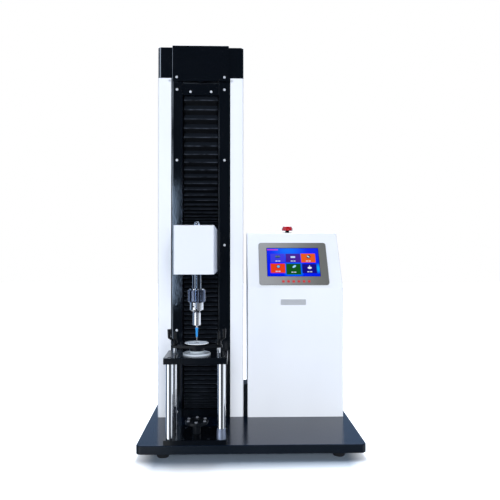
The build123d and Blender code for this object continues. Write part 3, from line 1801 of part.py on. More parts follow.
pieces = {
    "base_plate": base_plate,
    "base_screws": base_screws,
    "rubber_feet": rubber_feet,
    "column_frame": column_frame,
    "side_covers": side_covers,
    "front_strips": front_strips,
    "front_screws": front_screws,
    "column_back_cover": column_back_cover,
    "rear_screws": rear_screws,
    "top_cap": top_cap,
    "top_cap_front": top_cap_front,
    "bellows_brackets": bellows_brackets,
    "upper_bellows": upper_bellows,
    "lower_bellows": lower_bellows,
    "guide_rails": guide_rails,
    "screw_bearings": screw_bearings,
    "motor_plate": motor_plate,
    "drive_motor": drive_motor,
    "drive_belt": drive_belt,
    "limit_switches": limit_switches,
    "control_box_shell": control_box_shell,
    "control_box_back": control_box_back,
    "screen_bezel": screen_bezel,
    "screen_glass": screen_glass,
    "badge_plate": badge_plate,
    "estop_collar": estop_collar,
    "power_inlet": power_inlet,
    "controller_board": controller_board,
    "power_supply": power_supply,
    "cable_gap_cover": cable_gap_cover,
    "fixture_bottom_plate": fixture_bottom_plate,
    "fixture_posts": fixture_posts,
    "post_collar": post_collar,
    "fixture_top_plate": fixture_top_plate,
    "fixture_screws": fixture_screws,
    "lower_clamp_ring": lower_clamp_ring,
    "clamp_standoffs": clamp_standoffs,
    "lower_adapter": lower_adapter,
    "carriage_plate": carriage_plate,
    "rail_carriages": rail_carriages,
    "ball_nut": ball_nut,
    "crosshead_arm": crosshead_arm,
    "head_cover": head_cover,
    "load_cell": load_cell,
    "load_rod": load_rod,
    "head_cap_nut": head_cap_nut,
    "chuck_body": chuck_body,
    "needle_holder": needle_holder,
    "needle_hub": needle_hub,
    "needle": needle,
    "chuck_sleeve": chuck_sleeve,
    "ball_screw": ball_screw,
    "motor_pulley": motor_pulley,
    "clamp_bar": clamp_bar,
    "upper_clamp_ring": upper_clamp_ring,
    "left_clamp_lever": left_clamp_lever,
    "right_clamp_lever": right_clamp_lever,
    "estop_stem": estop_stem,
    "estop_head": estop_head,
    "power_rocker": power_rocker,
}

os.makedirs("parts", exist_ok=True)
for name, make in pieces.items():
    export_step(make(), f"parts/{name}.step")
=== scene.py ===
# %% [markdown]
# # A single-column testing machine in the studio
# The machine drives a needle through a clamped film and shows the force on its touch screen.
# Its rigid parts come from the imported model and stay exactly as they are. This lesson gives
# them their finishes, and makes in Blender what a solid can't show: pleated cloth guards, the
# recesses of the screws, soft pads and a lit screen.

# %% The frame
import json
from math import cos, pi, radians, sin, tau

import bmesh
import bpy
from mathutils import Matrix, Vector


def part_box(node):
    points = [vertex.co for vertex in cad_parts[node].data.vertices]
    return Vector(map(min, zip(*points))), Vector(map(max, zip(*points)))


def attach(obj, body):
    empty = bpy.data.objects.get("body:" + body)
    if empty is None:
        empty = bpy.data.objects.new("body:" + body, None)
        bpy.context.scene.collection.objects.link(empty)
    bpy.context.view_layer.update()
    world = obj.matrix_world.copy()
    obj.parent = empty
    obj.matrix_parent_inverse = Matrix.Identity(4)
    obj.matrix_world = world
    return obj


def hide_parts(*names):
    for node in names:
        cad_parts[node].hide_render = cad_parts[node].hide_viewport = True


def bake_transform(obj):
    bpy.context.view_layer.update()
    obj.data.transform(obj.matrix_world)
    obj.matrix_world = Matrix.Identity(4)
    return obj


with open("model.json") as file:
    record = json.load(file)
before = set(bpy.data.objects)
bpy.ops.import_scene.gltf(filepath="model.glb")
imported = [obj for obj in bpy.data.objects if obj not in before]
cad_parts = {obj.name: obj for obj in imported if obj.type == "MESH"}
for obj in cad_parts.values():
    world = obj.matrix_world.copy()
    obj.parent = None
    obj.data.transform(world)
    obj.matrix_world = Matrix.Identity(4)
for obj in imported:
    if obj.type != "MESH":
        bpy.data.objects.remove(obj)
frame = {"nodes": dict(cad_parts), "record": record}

mm = 0.001
studio = bpy.context.scene
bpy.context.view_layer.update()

# %% [markdown]
# ## Camera
# The photograph was taken from just left of the middle, a little under half the machine's
# height. A camera that stands there, with the same focal length measured in picture widths,
# puts every edge where the photograph has it. The two small turns aim it at the machine.

# %% Camera
picture_width = 500
focal_length = 560
film_width = 36
camera_place = (-38.5 * mm, -1575.2 * mm, 496.1 * mm)
camera_turn = 0.0254
camera_rise = 0.0082

lens = bpy.data.cameras.new("camera")
lens.sensor_width = film_width
lens.lens = focal_length / picture_width * film_width
camera = bpy.data.objects.new("camera", lens)
camera.location = camera_place
camera.rotation_euler = (pi / 2 + camera_rise, 0, -camera_turn)
studio.collection.objects.link(camera)
studio.camera = camera
print("lens", round(lens.lens, 2), "mm")

# %% [markdown]
# ## Node trees written as sums
# A finish is mostly arithmetic: roughness is a little more where the noise is high, a line is
# where a height is under a limit. Wiring that by hand hides the idea. A small class can wrap
# a socket instead, so that Python's own signs add the Math nodes.

# %% A wire
class Wire:
    """A socket of a node tree that takes part in Python's arithmetic."""

    def __init__(self, tree, socket):
        self.tree = tree
        self.socket = socket

    def __add__(self, other):
        return self.tree.maths("ADD", self, other)

    __radd__ = __add__

    def __sub__(self, other):
        return self.tree.maths("SUBTRACT", self, other)

    def __rsub__(self, other):
        return self.tree.maths("SUBTRACT", other, self)

    def __mul__(self, other):
        return self.tree.maths("MULTIPLY", self, other)

    __rmul__ = __mul__

    def __truediv__(self, other):
        return self.tree.maths("DIVIDE", self, other)

    def __lt__(self, other):
        return self.tree.maths("LESS_THAN", self, other)

    def __gt__(self, other):
        return self.tree.maths("GREATER_THAN", self, other)

    def __abs__(self):
        return self.tree.maths("ABSOLUTE", self)


print("signs that add a Math node: + - * / < > and abs")

# %% [markdown]
# Every other node comes from one method, which takes the node's type, its settings and the
# values or wires of its sockets. Shader trees and Geometry Nodes trees share it. Colours go
# through a Mix node, because a Math node would turn them grey.

# %% A tree
class Tree:
    """A node tree that grows by calls."""

    def __init__(self, data):
        self.data = data
        data.nodes.clear()

    def add(self, kind, settings=None, sockets=None):
        """Adds a node: first its settings, then its sockets."""
        made = self.data.nodes.new(kind)
        for name, value in (settings or {}).items():
            setattr(made, name, value)
        for key, value in (sockets or {}).items():
            self.plug(made.inputs[key], value)
        return made

    def node(self, kind, settings=None, sockets=None, output=0):
        """Adds a node and gives the wire from one of its outputs."""
        return Wire(self, self.add(kind, settings, sockets).outputs[output])

    def plug(self, socket, value):
        """Links a wire to a socket, or sets the socket's own value."""
        if isinstance(value, Wire):
            self.data.links.new(value.socket, socket)
        elif socket.type == "RGBA" and len(value) == 3:
            socket.default_value = (*value, 1)
        else:
            socket.default_value = value

    def maths(self, operation, first, second=0.0):
        return self.node("ShaderNodeMath", {"operation": operation}, {0: first, 1: second})

    def split(self, vector):
        """The three parts of a vector."""
        parts = self.add("ShaderNodeSeparateXYZ", sockets={0: vector})
        return [Wire(self, part) for part in parts.outputs]

    def mix(self, share, first, second):
        """One colour where share is 0, the other where it is 1."""
        # A Mix node has a pair of inputs for each type of value: 6 and 7 are its colours.
        sockets = {0: share, 6: first, 7: second}
        return self.node("ShaderNodeMix", {"data_type": "RGBA"}, sockets, 2)

    def ease(self, value, low, high):
        """0 at low, 1 at high and a smooth rise between. High may be the smaller of the two."""
        limits = {"Value": value, "From Min": low, "From Max": high}
        return self.node("ShaderNodeMapRange", {"interpolation_type": "SMOOTHSTEP"}, limits)


print("a tree adds nodes by their type, settings and sockets")

# %% [markdown]
# A finish is a tree with one Principled shader. What is the same all over is set once on the
# shader's own sockets. What changes over the surface is fed from Object coordinates, which
# stay with a piece when its body moves. The frame is in metres, so a noise's scale is about
# its cells per metre: 6 gives broad clouds, and 1300 a skin finer than a millimetre.

# %% A finish
class Finish(Tree):
    """A material with one Principled shader. Steady names what is the same all over."""

    def __init__(self, name, steady=None):
        self.material = bpy.data.materials.new(name)
        self.material.use_nodes = True
        super().__init__(self.material.node_tree)
        self.shader = self.add("ShaderNodeBsdfPrincipled")
        surface = Wire(self, self.shader.outputs[0])
        self.add("ShaderNodeOutputMaterial", sockets={"Surface": surface})
        self.place = self.node("ShaderNodeTexCoord", output="Object")
        for socket, value in (steady or {}).items():
            self.feed(socket, value)

    def feed(self, name, value):
        self.plug(self.shader.inputs[name], value)

    def stretched(self, x, y, z):
        """The place, scaled along each axis."""
        sockets = {"Vector": self.place, "Scale": (x, y, z)}
        return self.node("ShaderNodeMapping", sockets=sockets)

    def noise(self, scale, detail=2.0, place=None):
        sockets = {"Vector": place or self.place, "Scale": scale, "Detail": detail}
        return self.node("ShaderNodeTexNoise", sockets=sockets)

    def bump(self, height, strength, depth):
        sockets = {"Height": height, "Strength": strength, "Distance": depth}
        self.feed("Normal", self.node("ShaderNodeBump", sockets=sockets))


print("a finish feeds one Principled shader")

# %% [markdown]
# ## White powder coat
# The sheet-metal covers are powder coated: a cool white with the faint orange peel that the
# powder leaves as it melts. An image of such paint would have to be unwrapped and would
# repeat. Two noises do without: a large one for tone and gloss, a fine one for the peel.

# %% White powder coat
def powder_white(name="powder_white", shade=1.0):
    """Cool white. A shade under 1 is a little greyer, and serves as painted shade."""
    finish = Finish(name, {"Specular IOR Level": 0.45})
    cloud = finish.noise(6, 3)
    deep = tuple(part * shade for part in (0.745, 0.77, 0.825))
    pale = tuple(part * shade for part in (0.795, 0.815, 0.86))
    finish.feed("Base Color", finish.mix(cloud, deep, pale))
    finish.feed("Roughness", 0.30 + cloud * 0.16)
    finish.bump(finish.noise(1300), 0.10, 0.3 * mm)
    return finish.material


column_white = powder_white()
# The head's copy is painted shade: a greyer white that evens out the stronger light falling on the head
# cover.
head_white = powder_white("head_white", 0.89)
print("white finishes:", column_white.name, head_white.name)

# %% [markdown]
# ## Black lacquer
# The strips, plates and cap are lacquered black, smoother than the powder but not quite flat,
# so what they mirror comes out mottled. Low waves in the bump give that, and a finer noise
# adds as much peel as a piece needs. Where an edge would catch the light, a band along it gets
# a paler tone: a painted highlight. A bevel would do it too, but the packed solids stay as they
# are.

# %% Black lacquer
def black_lacquer(name="black_lacquer", edges=(), peel=0.04, satin=0.0, matt_left=None):
    """Black lacquer. Each painted highlight band along an edge has its axis, its place, a width
    and its tone. It is matt left of a place along X, where the spray didn't flow round the edge."""
    finish = Finish(name, {"Specular IOR Level": 0.4})
    cloud = finish.noise(9, 3)
    waves = finish.noise(70, 2)
    skin = finish.noise(230, 1)
    colour = finish.mix(cloud, (0.0016, 0.0026, 0.0042), (0.0032, 0.0044, 0.0068))
    parts = finish.split(finish.place)
    for axis, place, width, tone in edges:
        # Painted highlight: a paler band along an edge, broken up by the cloud noise.
        painted_highlight = finish.ease(abs(parts["xyz".index(axis)] - place), width, width / 2)
        painted_highlight = painted_highlight * finish.ease(cloud, 0.25, 0.6)
        colour = finish.mix(painted_highlight, colour, (tone, tone * 1.12, tone * 1.3))
    finish.feed("Base Color", colour)
    roughness = 0.06 + satin + cloud * 0.10
    if matt_left is not None:
        roughness = roughness + (parts[0] < matt_left) * 0.8
    finish.feed("Roughness", roughness)
    finish.bump(waves + skin * peel, 0.09, 1 * mm)
    return finish.material


gloss_black = black_lacquer()
plate_lacquer = black_lacquer("plate_lacquer", satin=0.09)
print("lacquers without edges:", gloss_black.name, plate_lacquer.name)

# %% Lacquer with painted edge highlights
strips_low, strips_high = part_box("front_strips")
strip_width = 32.1 * mm
strip_matt = strips_low.x + 3 * mm
# Painted highlights along edges of the strips, the lid, the cap front and the brackets.
strip_highlights = [
    ("x", strips_low.x + 4.2 * mm, 1.1 * mm, 0.20),
    ("x", strips_high.x - strip_width, 1.0 * mm, 0.09),
]
lid_highlights = [("x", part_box("top_cap")[0].x + 6.2 * mm, 2.2 * mm, 0.24)]
cap_highlights = [("x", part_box("top_cap_front")[0].x, 1.2 * mm, 0.3)]
bracket_highlights = [("z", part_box("bellows_brackets")[1].z - 0.8 * mm, 1.4 * mm, 0.05)]
strip_lacquer = black_lacquer("strip_lacquer", strip_highlights, peel=0.6, satin=-0.035, matt_left=strip_matt)
lid_lacquer = black_lacquer("lid_lacquer", lid_highlights)
cap_lacquer = black_lacquer("cap_lacquer", cap_highlights)
bracket_lacquer = black_lacquer("bracket_lacquer", bracket_highlights)
print("strips from", round(strips_low.x / mm, 1), "to", round(strips_high.x / mm, 1), "mm")

# %% [markdown]
# ## The base's lacquer
# The base has the same lacquer, but its upper face lies flat under everything, and its deep
# blue is a painted reflection of the room. Two materials would need the faces sorted. One comparison on
# the height tells the upper face from the sides within a single one.

# %% The base's lacquer
def base_lacquer():
    finish = Finish("base_lacquer", {"IOR": 1.33})
    cloud = finish.noise(9, 3)
    waves = finish.noise(70, 2)
    z = finish.split(finish.place)[2]
    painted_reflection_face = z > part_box("base_plate")[1].z - 0.8 * mm
    sides = finish.mix(cloud, (0.005, 0.008, 0.012), (0.009, 0.012, 0.018))
    # The upper face's deep blue is a painted reflection of the room.
    finish.feed("Base Color", finish.mix(painted_reflection_face, sides, (0.005, 0.015, 0.038)))
    finish.feed("Metallic", painted_reflection_face * 0.5)
    finish.feed("Roughness", 0.12 + cloud * 0.12)
    finish.bump(waves + finish.noise(600, 1) * 0.08, 0.12, 1 * mm)
    return finish.material


base_black = base_lacquer()

# %% [markdown]
# ## Satin black
# Small black parts are sprayed satin, with a fine grain. The clamp bar's boss ends in a bare
# turned ring where it presses on the film, so the same finish can be bare below a height.

# %% Satin black
def satin_black(name="satin_black", bare_below=None):
    finish = Finish(name, {"Specular IOR Level": 0.28})
    cloud = finish.noise(25, 3)
    colour = finish.mix(cloud, (0.0028, 0.0038, 0.0054), (0.0052, 0.0064, 0.0088))
    if bare_below is not None:
        bare = finish.split(finish.place)[2] < bare_below
        colour = finish.mix(bare, colour, (0.42, 0.47, 0.51))
    finish.feed("Base Color", colour)
    finish.feed("Roughness", 0.30 + cloud * 0.16)
    finish.bump(finish.noise(1100), 0.2, 0.3 * mm)
    return finish.material


ring_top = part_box("clamp_bar")[0].z + 4.8 * mm
satin = satin_black()
bar_black = satin_black("clamp_bar_black", ring_top)
print("bare ring up to", round(ring_top / mm, 1), "mm")

# %% [markdown]
# ## Metals
# Every bright part is bare metal, and what tells one from the next is how it was worked.
# Ground and chromed posts have hairlines along their length, turned steel has fine rings,
# plates are brushed one way, cast aluminium is matt and grainy. Stretching a noise along one
# axis draws lines along it, and those lines go to the roughness and a very low bump.

# %% Metals
def metal(name, colour, roughness, stretch, scale, spread, relief, metallic=1.0):
    """A metal with tool marks: stretch is small along the marks' own direction."""
    finish = Finish(name, {"Metallic": metallic})
    marks = finish.noise(scale, 3, finish.stretched(*stretch))
    darker = tuple(part * 0.82 for part in colour)
    finish.feed("Base Color", finish.mix(marks, darker, colour))
    finish.feed("Roughness", roughness - spread / 2 + marks * spread)
    finish.bump(marks, relief, 0.4 * mm)
    return finish.material


drawn, brushed_over, grainy = (1, 1, 0.03), (0.03, 1, 1), (1, 1, 1)
turned, faintly_drawn = (0.05, 0.05, 1), (1, 1, 0.1)

chrome = metal("hard_chrome", (0.86, 0.87, 0.90), 0.05, drawn, 500, 0.03, 0.02)
rod_steel = metal("rod_steel", (0.22, 0.25, 0.30), 0.07, drawn, 500, 0.03, 0.02)
turned_steel = metal("turned_steel", (0.66, 0.67, 0.70), 0.24, turned, 900, 0.14, 0.10)
dark_steel = metal("blackened_steel", (0.17, 0.20, 0.28), 0.13, turned, 900, 0.14, 0.10)
bright_steel = metal("bright_steel", (0.78, 0.79, 0.82), 0.13, turned, 900, 0.08, 0.05)
collar_metal = metal("collar_metal", (0.33, 0.38, 0.50), 0.34, turned, 900, 0.14, 0.10, 0.7)
zinc = metal("zinc_plate", (0.86, 0.89, 0.94), 0.30, grainy, 700, 0.2, 0.08, 0.4)
seat_steel = metal("seat_steel", (0.34, 0.36, 0.40), 0.30, grainy, 700, 0.2, 0.08, 0.5)
cast = metal("cast_aluminium", (0.52, 0.53, 0.55), 0.52, grainy, 420, 0.25, 0.45)
anodised = metal("anodised_ring", (0.70, 0.77, 0.84), 0.50, faintly_drawn, 900, 0.10, 0.05, 0.1)
brushed = metal("brushed_aluminium", (0.62, 0.64, 0.67), 0.34, brushed_over, 1400, 0.18, 0.15, 0.35)
print("metals, from", chrome.name, "to", brushed.name)

# %% [markdown]
# ## The clamp's disc
# The upper clamping disc has a pale turned face. Below it, it is dark: the neck is blackened,
# and the lower part of the rim is painted shade. It is one solid, so the height again decides which
# finish shows.

# %% The clamp's disc
def disc_metal(face_depth):
    finish = Finish("clamp_disc_metal", {"Metallic": 0.1})
    z = finish.split(finish.place)[2]
    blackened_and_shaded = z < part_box("upper_clamp_ring")[1].z - face_depth
    marks = finish.noise(900, 3, finish.stretched(*faintly_drawn))
    pale = finish.mix(marks, (0.90, 0.95, 0.98), (0.96, 0.99, 1.0))
    # Dark below the face: blackened steel on the neck, painted shade on the lower part of the rim.
    finish.feed("Base Color", finish.mix(blackened_and_shaded, pale, (0.004, 0.005, 0.007)))
    finish.feed("Roughness", 0.45 + marks * 0.1)
    finish.bump(marks, 0.05, 0.4 * mm)
    return finish.material


pale_disc = disc_metal(1.3 * mm)
print("disc", pale_disc.name)

# %% [markdown]
# ## Moulded plastic
# Moulded parts carry the fine spark texture of their mould, which is a very low bump. The
# emergency stop is glossy under a clear coat, and the needle's hub lets some light through.

# %% Moulded plastic
def moulded(name, colour, roughness, relief=0.15, steady=None):
    finish = Finish(name, steady)
    cloud = finish.noise(60, 2)
    darker = tuple(part * 0.8 for part in colour)
    finish.feed("Base Color", finish.mix(cloud, darker, colour))
    finish.feed("Roughness", roughness - 0.05 + cloud * 0.1)
    finish.bump(finish.noise(900), relief, 0.2 * mm)
    return finish.material


dull, coated, clear = {"Specular IOR Level": 0.3}, {"Coat Weight": 1.0}, {"Transmission Weight": 0.25}
black_plastic = moulded("black_plastic", (0.002, 0.0025, 0.0035), 0.16, steady=dull)
red_plastic = moulded("red_plastic", (0.42, 0.010, 0.014), 0.12, 0.02, coated)
blue_plastic = moulded("blue_plastic", (0.02, 0.36, 0.90), 0.2, 0.02, clear)
screen_edge = moulded("screen_edge", (0.01, 0.01, 0.012), 0.1, 0.0)
pad_red = moulded("pad_red", (0.62, 0.035, 0.04), 0.4, 0.05)
print("plastics:", black_plastic.name, red_plastic.name, blue_plastic.name, pad_red.name)

# %% [markdown]
# ## Rubber feet
# The feet are matt, with dust that has settled low down, where they meet the bench. The dust
# is a noise that fades out over the first few millimetres of height.

# %% Rubber feet
def foot_rubber(dust_height):
    finish = Finish("foot_rubber", {"Roughness": 0.8})
    height = finish.split(finish.place)[2]
    dust = finish.ease(height, dust_height, 0.0) * finish.noise(300, 3)
    finish.feed("Base Color", finish.mix(dust, (0.008, 0.009, 0.011), (0.030, 0.032, 0.037)))
    finish.bump(finish.noise(1200), 0.4, 0.3 * mm)
    return finish.material


rubber = foot_rubber(5 * mm)
print("dust on", rubber.name)

# %% [markdown]
# ## Circuit board
# The controller is a green board with copper tracks that run both ways. It hides inside the
# box, so two sine waves are enough: a track is where a wave is near its crest.

# %% Circuit board
def circuit_board(track_waves=1600, link_waves=1100):
    finish = Finish("circuit_board", {"Roughness": 0.35})
    x, _, z = finish.split(finish.place)
    tracks = abs(finish.maths("SINE", x * track_waves)) > 0.86
    links = abs(finish.maths("SINE", z * link_waves)) > 0.93
    copper = finish.maths("MAXIMUM", tracks, links) * (finish.noise(45) > 0.5)
    finish.feed("Base Color", finish.mix(copper, (0.012, 0.13, 0.05), (0.05, 0.32, 0.13)))
    finish.bump(copper, 0.4, 0.1 * mm)
    return finish.material


board_green = circuit_board()
print("board", board_green.name)

# %% [markdown]
# ## The bezel
# The bezel round the screen is satin grey, and fades from left to right. The fade is painted
# shading, lighter on the left, and is an eased value along X between two greys.

# %% The bezel
def bezel_painted_shading():
    finish = Finish("bezel_grey")
    low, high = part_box("screen_bezel")
    x = finish.split(finish.place)[0]
    grain = finish.noise(900)
    across = finish.ease(x, low.x, high.x)
    # Painted shading: lighter grey on the left, darker on the right.
    tone = finish.mix(across, (0.33, 0.325, 0.325), (0.13, 0.128, 0.116))
    finish.feed("Base Color", finish.mix(grain * 0.3, tone, (0.12, 0.12, 0.12)))
    finish.feed("Roughness", 0.38 + finish.noise(60) * 0.1)
    finish.bump(grain, 0.08, 0.2 * mm)
    return finish.material


bezel_grey = bezel_painted_shading()
print("bezel", bezel_grey.name)

# %% [markdown]
# ## Which node has which finish
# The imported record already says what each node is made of, by slot. One dictionary turns
# slots into materials, and a second one names the few nodes that differ within their slot.

# %% Finishes for the slots
finish_of_slot = {
    "white_paint": column_white,
    "black_paint": satin,
    "black_gloss": gloss_black,
    "bellows_cloth": satin,
    "rubber": rubber,
    "steel": turned_steel,
    "dark_steel": dark_steel,
    "chrome": chrome,
    "aluminium": cast,
    "ring_metal": anodised,
    "black_plastic": black_plastic,
    "red_plastic": red_plastic,
    "blue_plastic": blue_plastic,
    "bezel_grey": bezel_grey,
    "screen": screen_edge,
    "board_green": board_green,
}
print("slots", len(finish_of_slot))

# %% Finishes for the nodes
finish_of_node = {
    "badge_plate": brushed,
    "base_plate": base_black,
    "bellows_brackets": bracket_lacquer,
    "chuck_body": bright_steel,
    "clamp_bar": bar_black,
    "fixture_top_plate": plate_lacquer,
    "front_screws": zinc,
    "front_strips": strip_lacquer,
    "head_cap_nut": bright_steel,
    "head_cover": head_white,
    "load_rod": rod_steel,
    "lower_adapter": satin,
    "needle": bright_steel,
    "needle_holder": bright_steel,
    "post_collar": collar_metal,
    "rear_screws": zinc,
    "top_cap": lid_lacquer,
    "top_cap_front": cap_lacquer,
    "upper_clamp_ring": pale_disc,
}
slot_of = {row["node"]: row["material_slot"] for row in frame["record"]["subparts"]}
for name, node in frame["nodes"].items():
    node.data.materials.clear()
    node.data.materials.append(finish_of_node.get(name, finish_of_slot[slot_of[name]]))
print("nodes with their own finish", len(finish_of_node))

# %% [markdown]
# ## Making pieces
# A few helpers turn points into finished pieces. Each piece's own object stays at the origin,
# with its place in its mesh, because it has to move with a body of the frame. Edges sharper
# than a limit stay sharp, and the rest is smooth.

# %% A mesh from points
def shaded(mesh, sharp_angle):
    mesh.shade_smooth()
    mesh.set_sharp_from_angle(angle=radians(sharp_angle))
    return mesh


def mesh_of(name, points, faces):
    """A mesh with its doubles merged and its faces pointing outwards."""
    mesh = bpy.data.meshes.new(name)
    mesh.from_pydata(points, [], faces)
    work = bmesh.new()
    work.from_mesh(mesh)
    bmesh.ops.remove_doubles(work, verts=work.verts, dist=1e-7)
    bmesh.ops.recalc_face_normals(work, faces=work.faces)
    work.to_mesh(mesh)
    work.free()
    return mesh


def strip_faces(rows, count, closed=True):
    """The faces between rows of points that follow each other, count points to a row."""
    faces = []
    for row in range(rows - 1):
        for i in range(count if closed else count - 1):
            j = (i + 1) % count
            low, high = row * count, (row + 1) * count
            faces.append((low + i, low + j, high + j, high + i))
    return faces


print("meshes get merged doubles and outward faces")

# %% A finished piece
def new_object(name, data):
    piece = bpy.data.objects.new(name, data)
    studio.collection.objects.link(piece)
    return piece


def plain(piece):
    """Turns an object and its modifiers into a plain mesh."""
    evaluated = piece.evaluated_get(bpy.context.evaluated_depsgraph_get())
    mesh = bpy.data.meshes.new_from_object(evaluated)
    piece.modifiers.clear()
    piece.data = mesh
    return piece


def dress(piece, body, material=None, replaced=()):
    """Says what a finished piece rides on, which nodes it stands for and what it is made of."""
    if material:
        piece.data.materials.clear()
        piece.data.materials.append(material)
    if body:
        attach(piece, body)
    if replaced:
        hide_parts(*replaced)


# %% [markdown]
# ## Screw heads
# Forty-eight screws hold the covers and the table. On a real machine each has its recess.
# A recess could be drawn face by face, but cutting it with a Boolean modifier is shorter and
# works for any shape of tool. Heads are turned on a lathe, which is one profile swept round,
# and the tools are prisms.

# %% Lathe, prism and cut
def lathe(name, profile, steps):
    """A closed solid of revolution about Z from (radius, height) points, axis to axis."""
    points = []
    for radius, height in profile:
        for i in range(steps):
            turn = tau * i / steps
            points.append((radius * cos(turn), radius * sin(turn), height))
    return mesh_of(name, points, strip_faces(len(profile), steps))


def prism(name, outline, low, high, taper=1.0):
    """A straight or tapering prism: outline is drawn at the high end."""
    count = len(outline)
    points = [(x * taper, y * taper, low) for x, y in outline]
    points += [(x, y, high) for x, y in outline]
    ends = [tuple(range(count))[::-1], tuple(range(count, 2 * count))]
    return mesh_of(name, points, ends + strip_faces(2, count))


def cut_from(solid, cutter):
    """Subtracts one mesh from another and gives a plain mesh."""
    target = new_object("cut_target", solid)
    tool = new_object("cut_tool", cutter)
    difference = target.modifiers.new("recess", "BOOLEAN")
    difference.operation = "DIFFERENCE"
    difference.solver = "EXACT"
    difference.object = tool
    result = plain(target).data
    bpy.data.objects.remove(target)
    bpy.data.objects.remove(tool)
    return result


print("a head is turned, a tool is a prism")

# %% [markdown]
# The covers have pan heads with a cross recess, and the fixture plates have socket heads with
# a hexagonal one. Both kinds share the shank with its chamfered end. A pan head's outline is
# a quarter of a flattened ellipse.

# %% Pan-head screws
def shank_profile(shank, reach, inset, rise):
    """The profile of a shank from its end up to the seat, with a chamfer."""
    half = shank / 2
    return [(0, -reach), (half - inset, -reach), (half, -reach + rise), (half, 0)]


def cross_outline(reach, half):
    """The outline of a cross with equal arms."""
    outline = []
    for i in range(4):
        turn = Matrix.Rotation(i * pi / 2, 2)
        arm = [(reach, -half), (reach, half), (half, half)]
        outline += [tuple(turn @ Vector(point)) for point in arm]
    return outline


def pan_screw(head, height, reach, shank):
    """A pan-head screw with a cross recess; its seat is at height 0."""
    radius = head / 2
    profile = shank_profile(shank, reach, 0.3 * mm, 0.5 * mm)
    profile += [(radius - 0.1 * mm, 0), (radius, 0.15 * mm)]
    dome = 8
    for i in range(dome):
        turn = i / dome * pi / 2
        profile.append((radius * cos(turn) ** 0.55, height * (0.35 + 0.65 * sin(turn))))
    profile.append((0, height))
    body = lathe("pan_screw", profile, 28)
    cross = cross_outline(radius * 0.56, radius * 0.13)
    recess = prism("cross", cross, height * 0.3, height * 1.1, 0.55)
    return shaded(cut_from(body, recess), 30)


m4_head, m4_height, m4_shank = 7.4 * mm, 2.6 * mm, 4 * mm
pan = pan_screw(m4_head, m4_height, 9 * mm, m4_shank)
print("pan head", round(m4_head / mm, 1), "mm,", len(pan.polygons), "faces")

# %% Socket-head screws
def socket_screw(head, height, reach, shank):
    """A socket-head screw with a hexagonal recess; its seat is at height 0."""
    radius, chamfer = head / 2, 0.4 * mm
    profile = shank_profile(shank, reach, chamfer, 0.6 * mm)
    profile += [(radius, 0), (radius, height - chamfer), (radius - chamfer, height), (0, height)]
    body = lathe("socket_screw", profile, 32)
    turns = [i * pi / 3 for i in range(6)]
    hexagon = [(radius * 0.56 * cos(turn), radius * 0.56 * sin(turn)) for turn in turns]
    recess = prism("hexagon", hexagon, height * 0.4, height * 1.1)
    return shaded(cut_from(body, recess), 30)


m6_head, m6_height, m6_shank = 10 * mm, 6 * mm, 6 * mm
m6_screw = socket_screw(m6_head, m6_height, 14 * mm, m6_shank)
m4_screw = socket_screw(m4_head, m4_height, 6 * mm, m4_shank)
print("socket head", round(m6_head / mm), "mm,", len(m6_screw.polygons), "faces")

# %% [markdown]
# ## Setting the screws
# Each kind of screw repeats, so a Geometry Nodes tree sets one master on a cloud of points.
# No two screws of a machine are tightened to the same angle: a random turn about the screw's
# own axis, with a fixed seed, comes out the same each time. The tree ends in Realize
# Instances and Set Material, because the export takes only real meshes.

# %% Helpers for Geometry Nodes
def new_recipe(name, inputs):
    """An empty tree with named inputs, and a wire from each of them."""
    data = bpy.data.node_groups.new(name, "GeometryNodeTree")
    data.is_modifier = True
    for label, kind in [("Geometry", "Geometry"), *inputs]:
        data.interface.new_socket(label, in_out="INPUT", socket_type="NodeSocket" + kind)
    data.interface.new_socket("Geometry", in_out="OUTPUT", socket_type="NodeSocketGeometry")
    recipe = Tree(data)
    source = recipe.add("NodeGroupInput")
    return recipe, {item.name: Wire(recipe, item) for item in source.outputs if item.name}


def close_recipe(recipe, geometry, material):
    """Ends a tree: real geometry, then its material."""
    real = recipe.node("GeometryNodeRealizeInstances", sockets={0: geometry})
    sockets = {"Geometry": real, "Material": material}
    named = recipe.node("GeometryNodeSetMaterial", sockets=sockets)
    recipe.add("NodeGroupOutput", sockets={0: named})


def cook(piece, recipe, values):
    """Runs a tree on a piece with these inputs and keeps the plain mesh."""
    modifier = piece.modifiers.new("recipe", "NODES")
    modifier.node_group = recipe.data
    for item in recipe.data.interface.items_tree:
        if item.in_out == "INPUT" and item.name in values:
            modifier[item.identifier] = values[item.name]
    return plain(piece)


print("a recipe takes its values by the names of its inputs")

# %% The tree that sets screws on points
def screw_recipe():
    inputs = [("Screw", "Object"), ("Facing", "Rotation"), ("Turn Seed", "Int")]
    recipe, given = new_recipe("screws_on_points", [*inputs, ("Material", "Material")])
    sockets = {"Object": given["Screw"]}
    screw = recipe.node("GeometryNodeObjectInfo", sockets=sockets, output="Geometry")
    sockets = {"Max": tau, "Seed": given["Turn Seed"]}
    angle = recipe.node("FunctionNodeRandomValue", {"data_type": "FLOAT"}, sockets, 1)
    sockets = {"Axis": (0, 0, 1), "Angle": angle}
    turn = recipe.node("FunctionNodeAxisAngleToRotation", sockets=sockets)
    sockets = {"Rotation": given["Facing"], "Rotate By": turn}
    own_axis = {"rotation_space": "LOCAL"}
    rotation = recipe.node("FunctionNodeRotateRotation", own_axis, sockets)
    sockets = {"Points": given["Geometry"], "Instance": screw, "Rotation": rotation}
    placed = recipe.node("GeometryNodeInstanceOnPoints", sockets=sockets)
    close_recipe(recipe, placed, given["Material"])
    return recipe


set_screws = screw_recipe()
print("nodes in the screw tree", len(set_screws.data.nodes))

# %% [markdown]
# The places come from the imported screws. One node holds many separate solids, and walking
# from corner to corner along the edges finds them one by one. The walk starts from the lowest
# corner number that is left, so that the order, and with it each screw's turn, never changes.
# The box of each solid then says where its head sits.

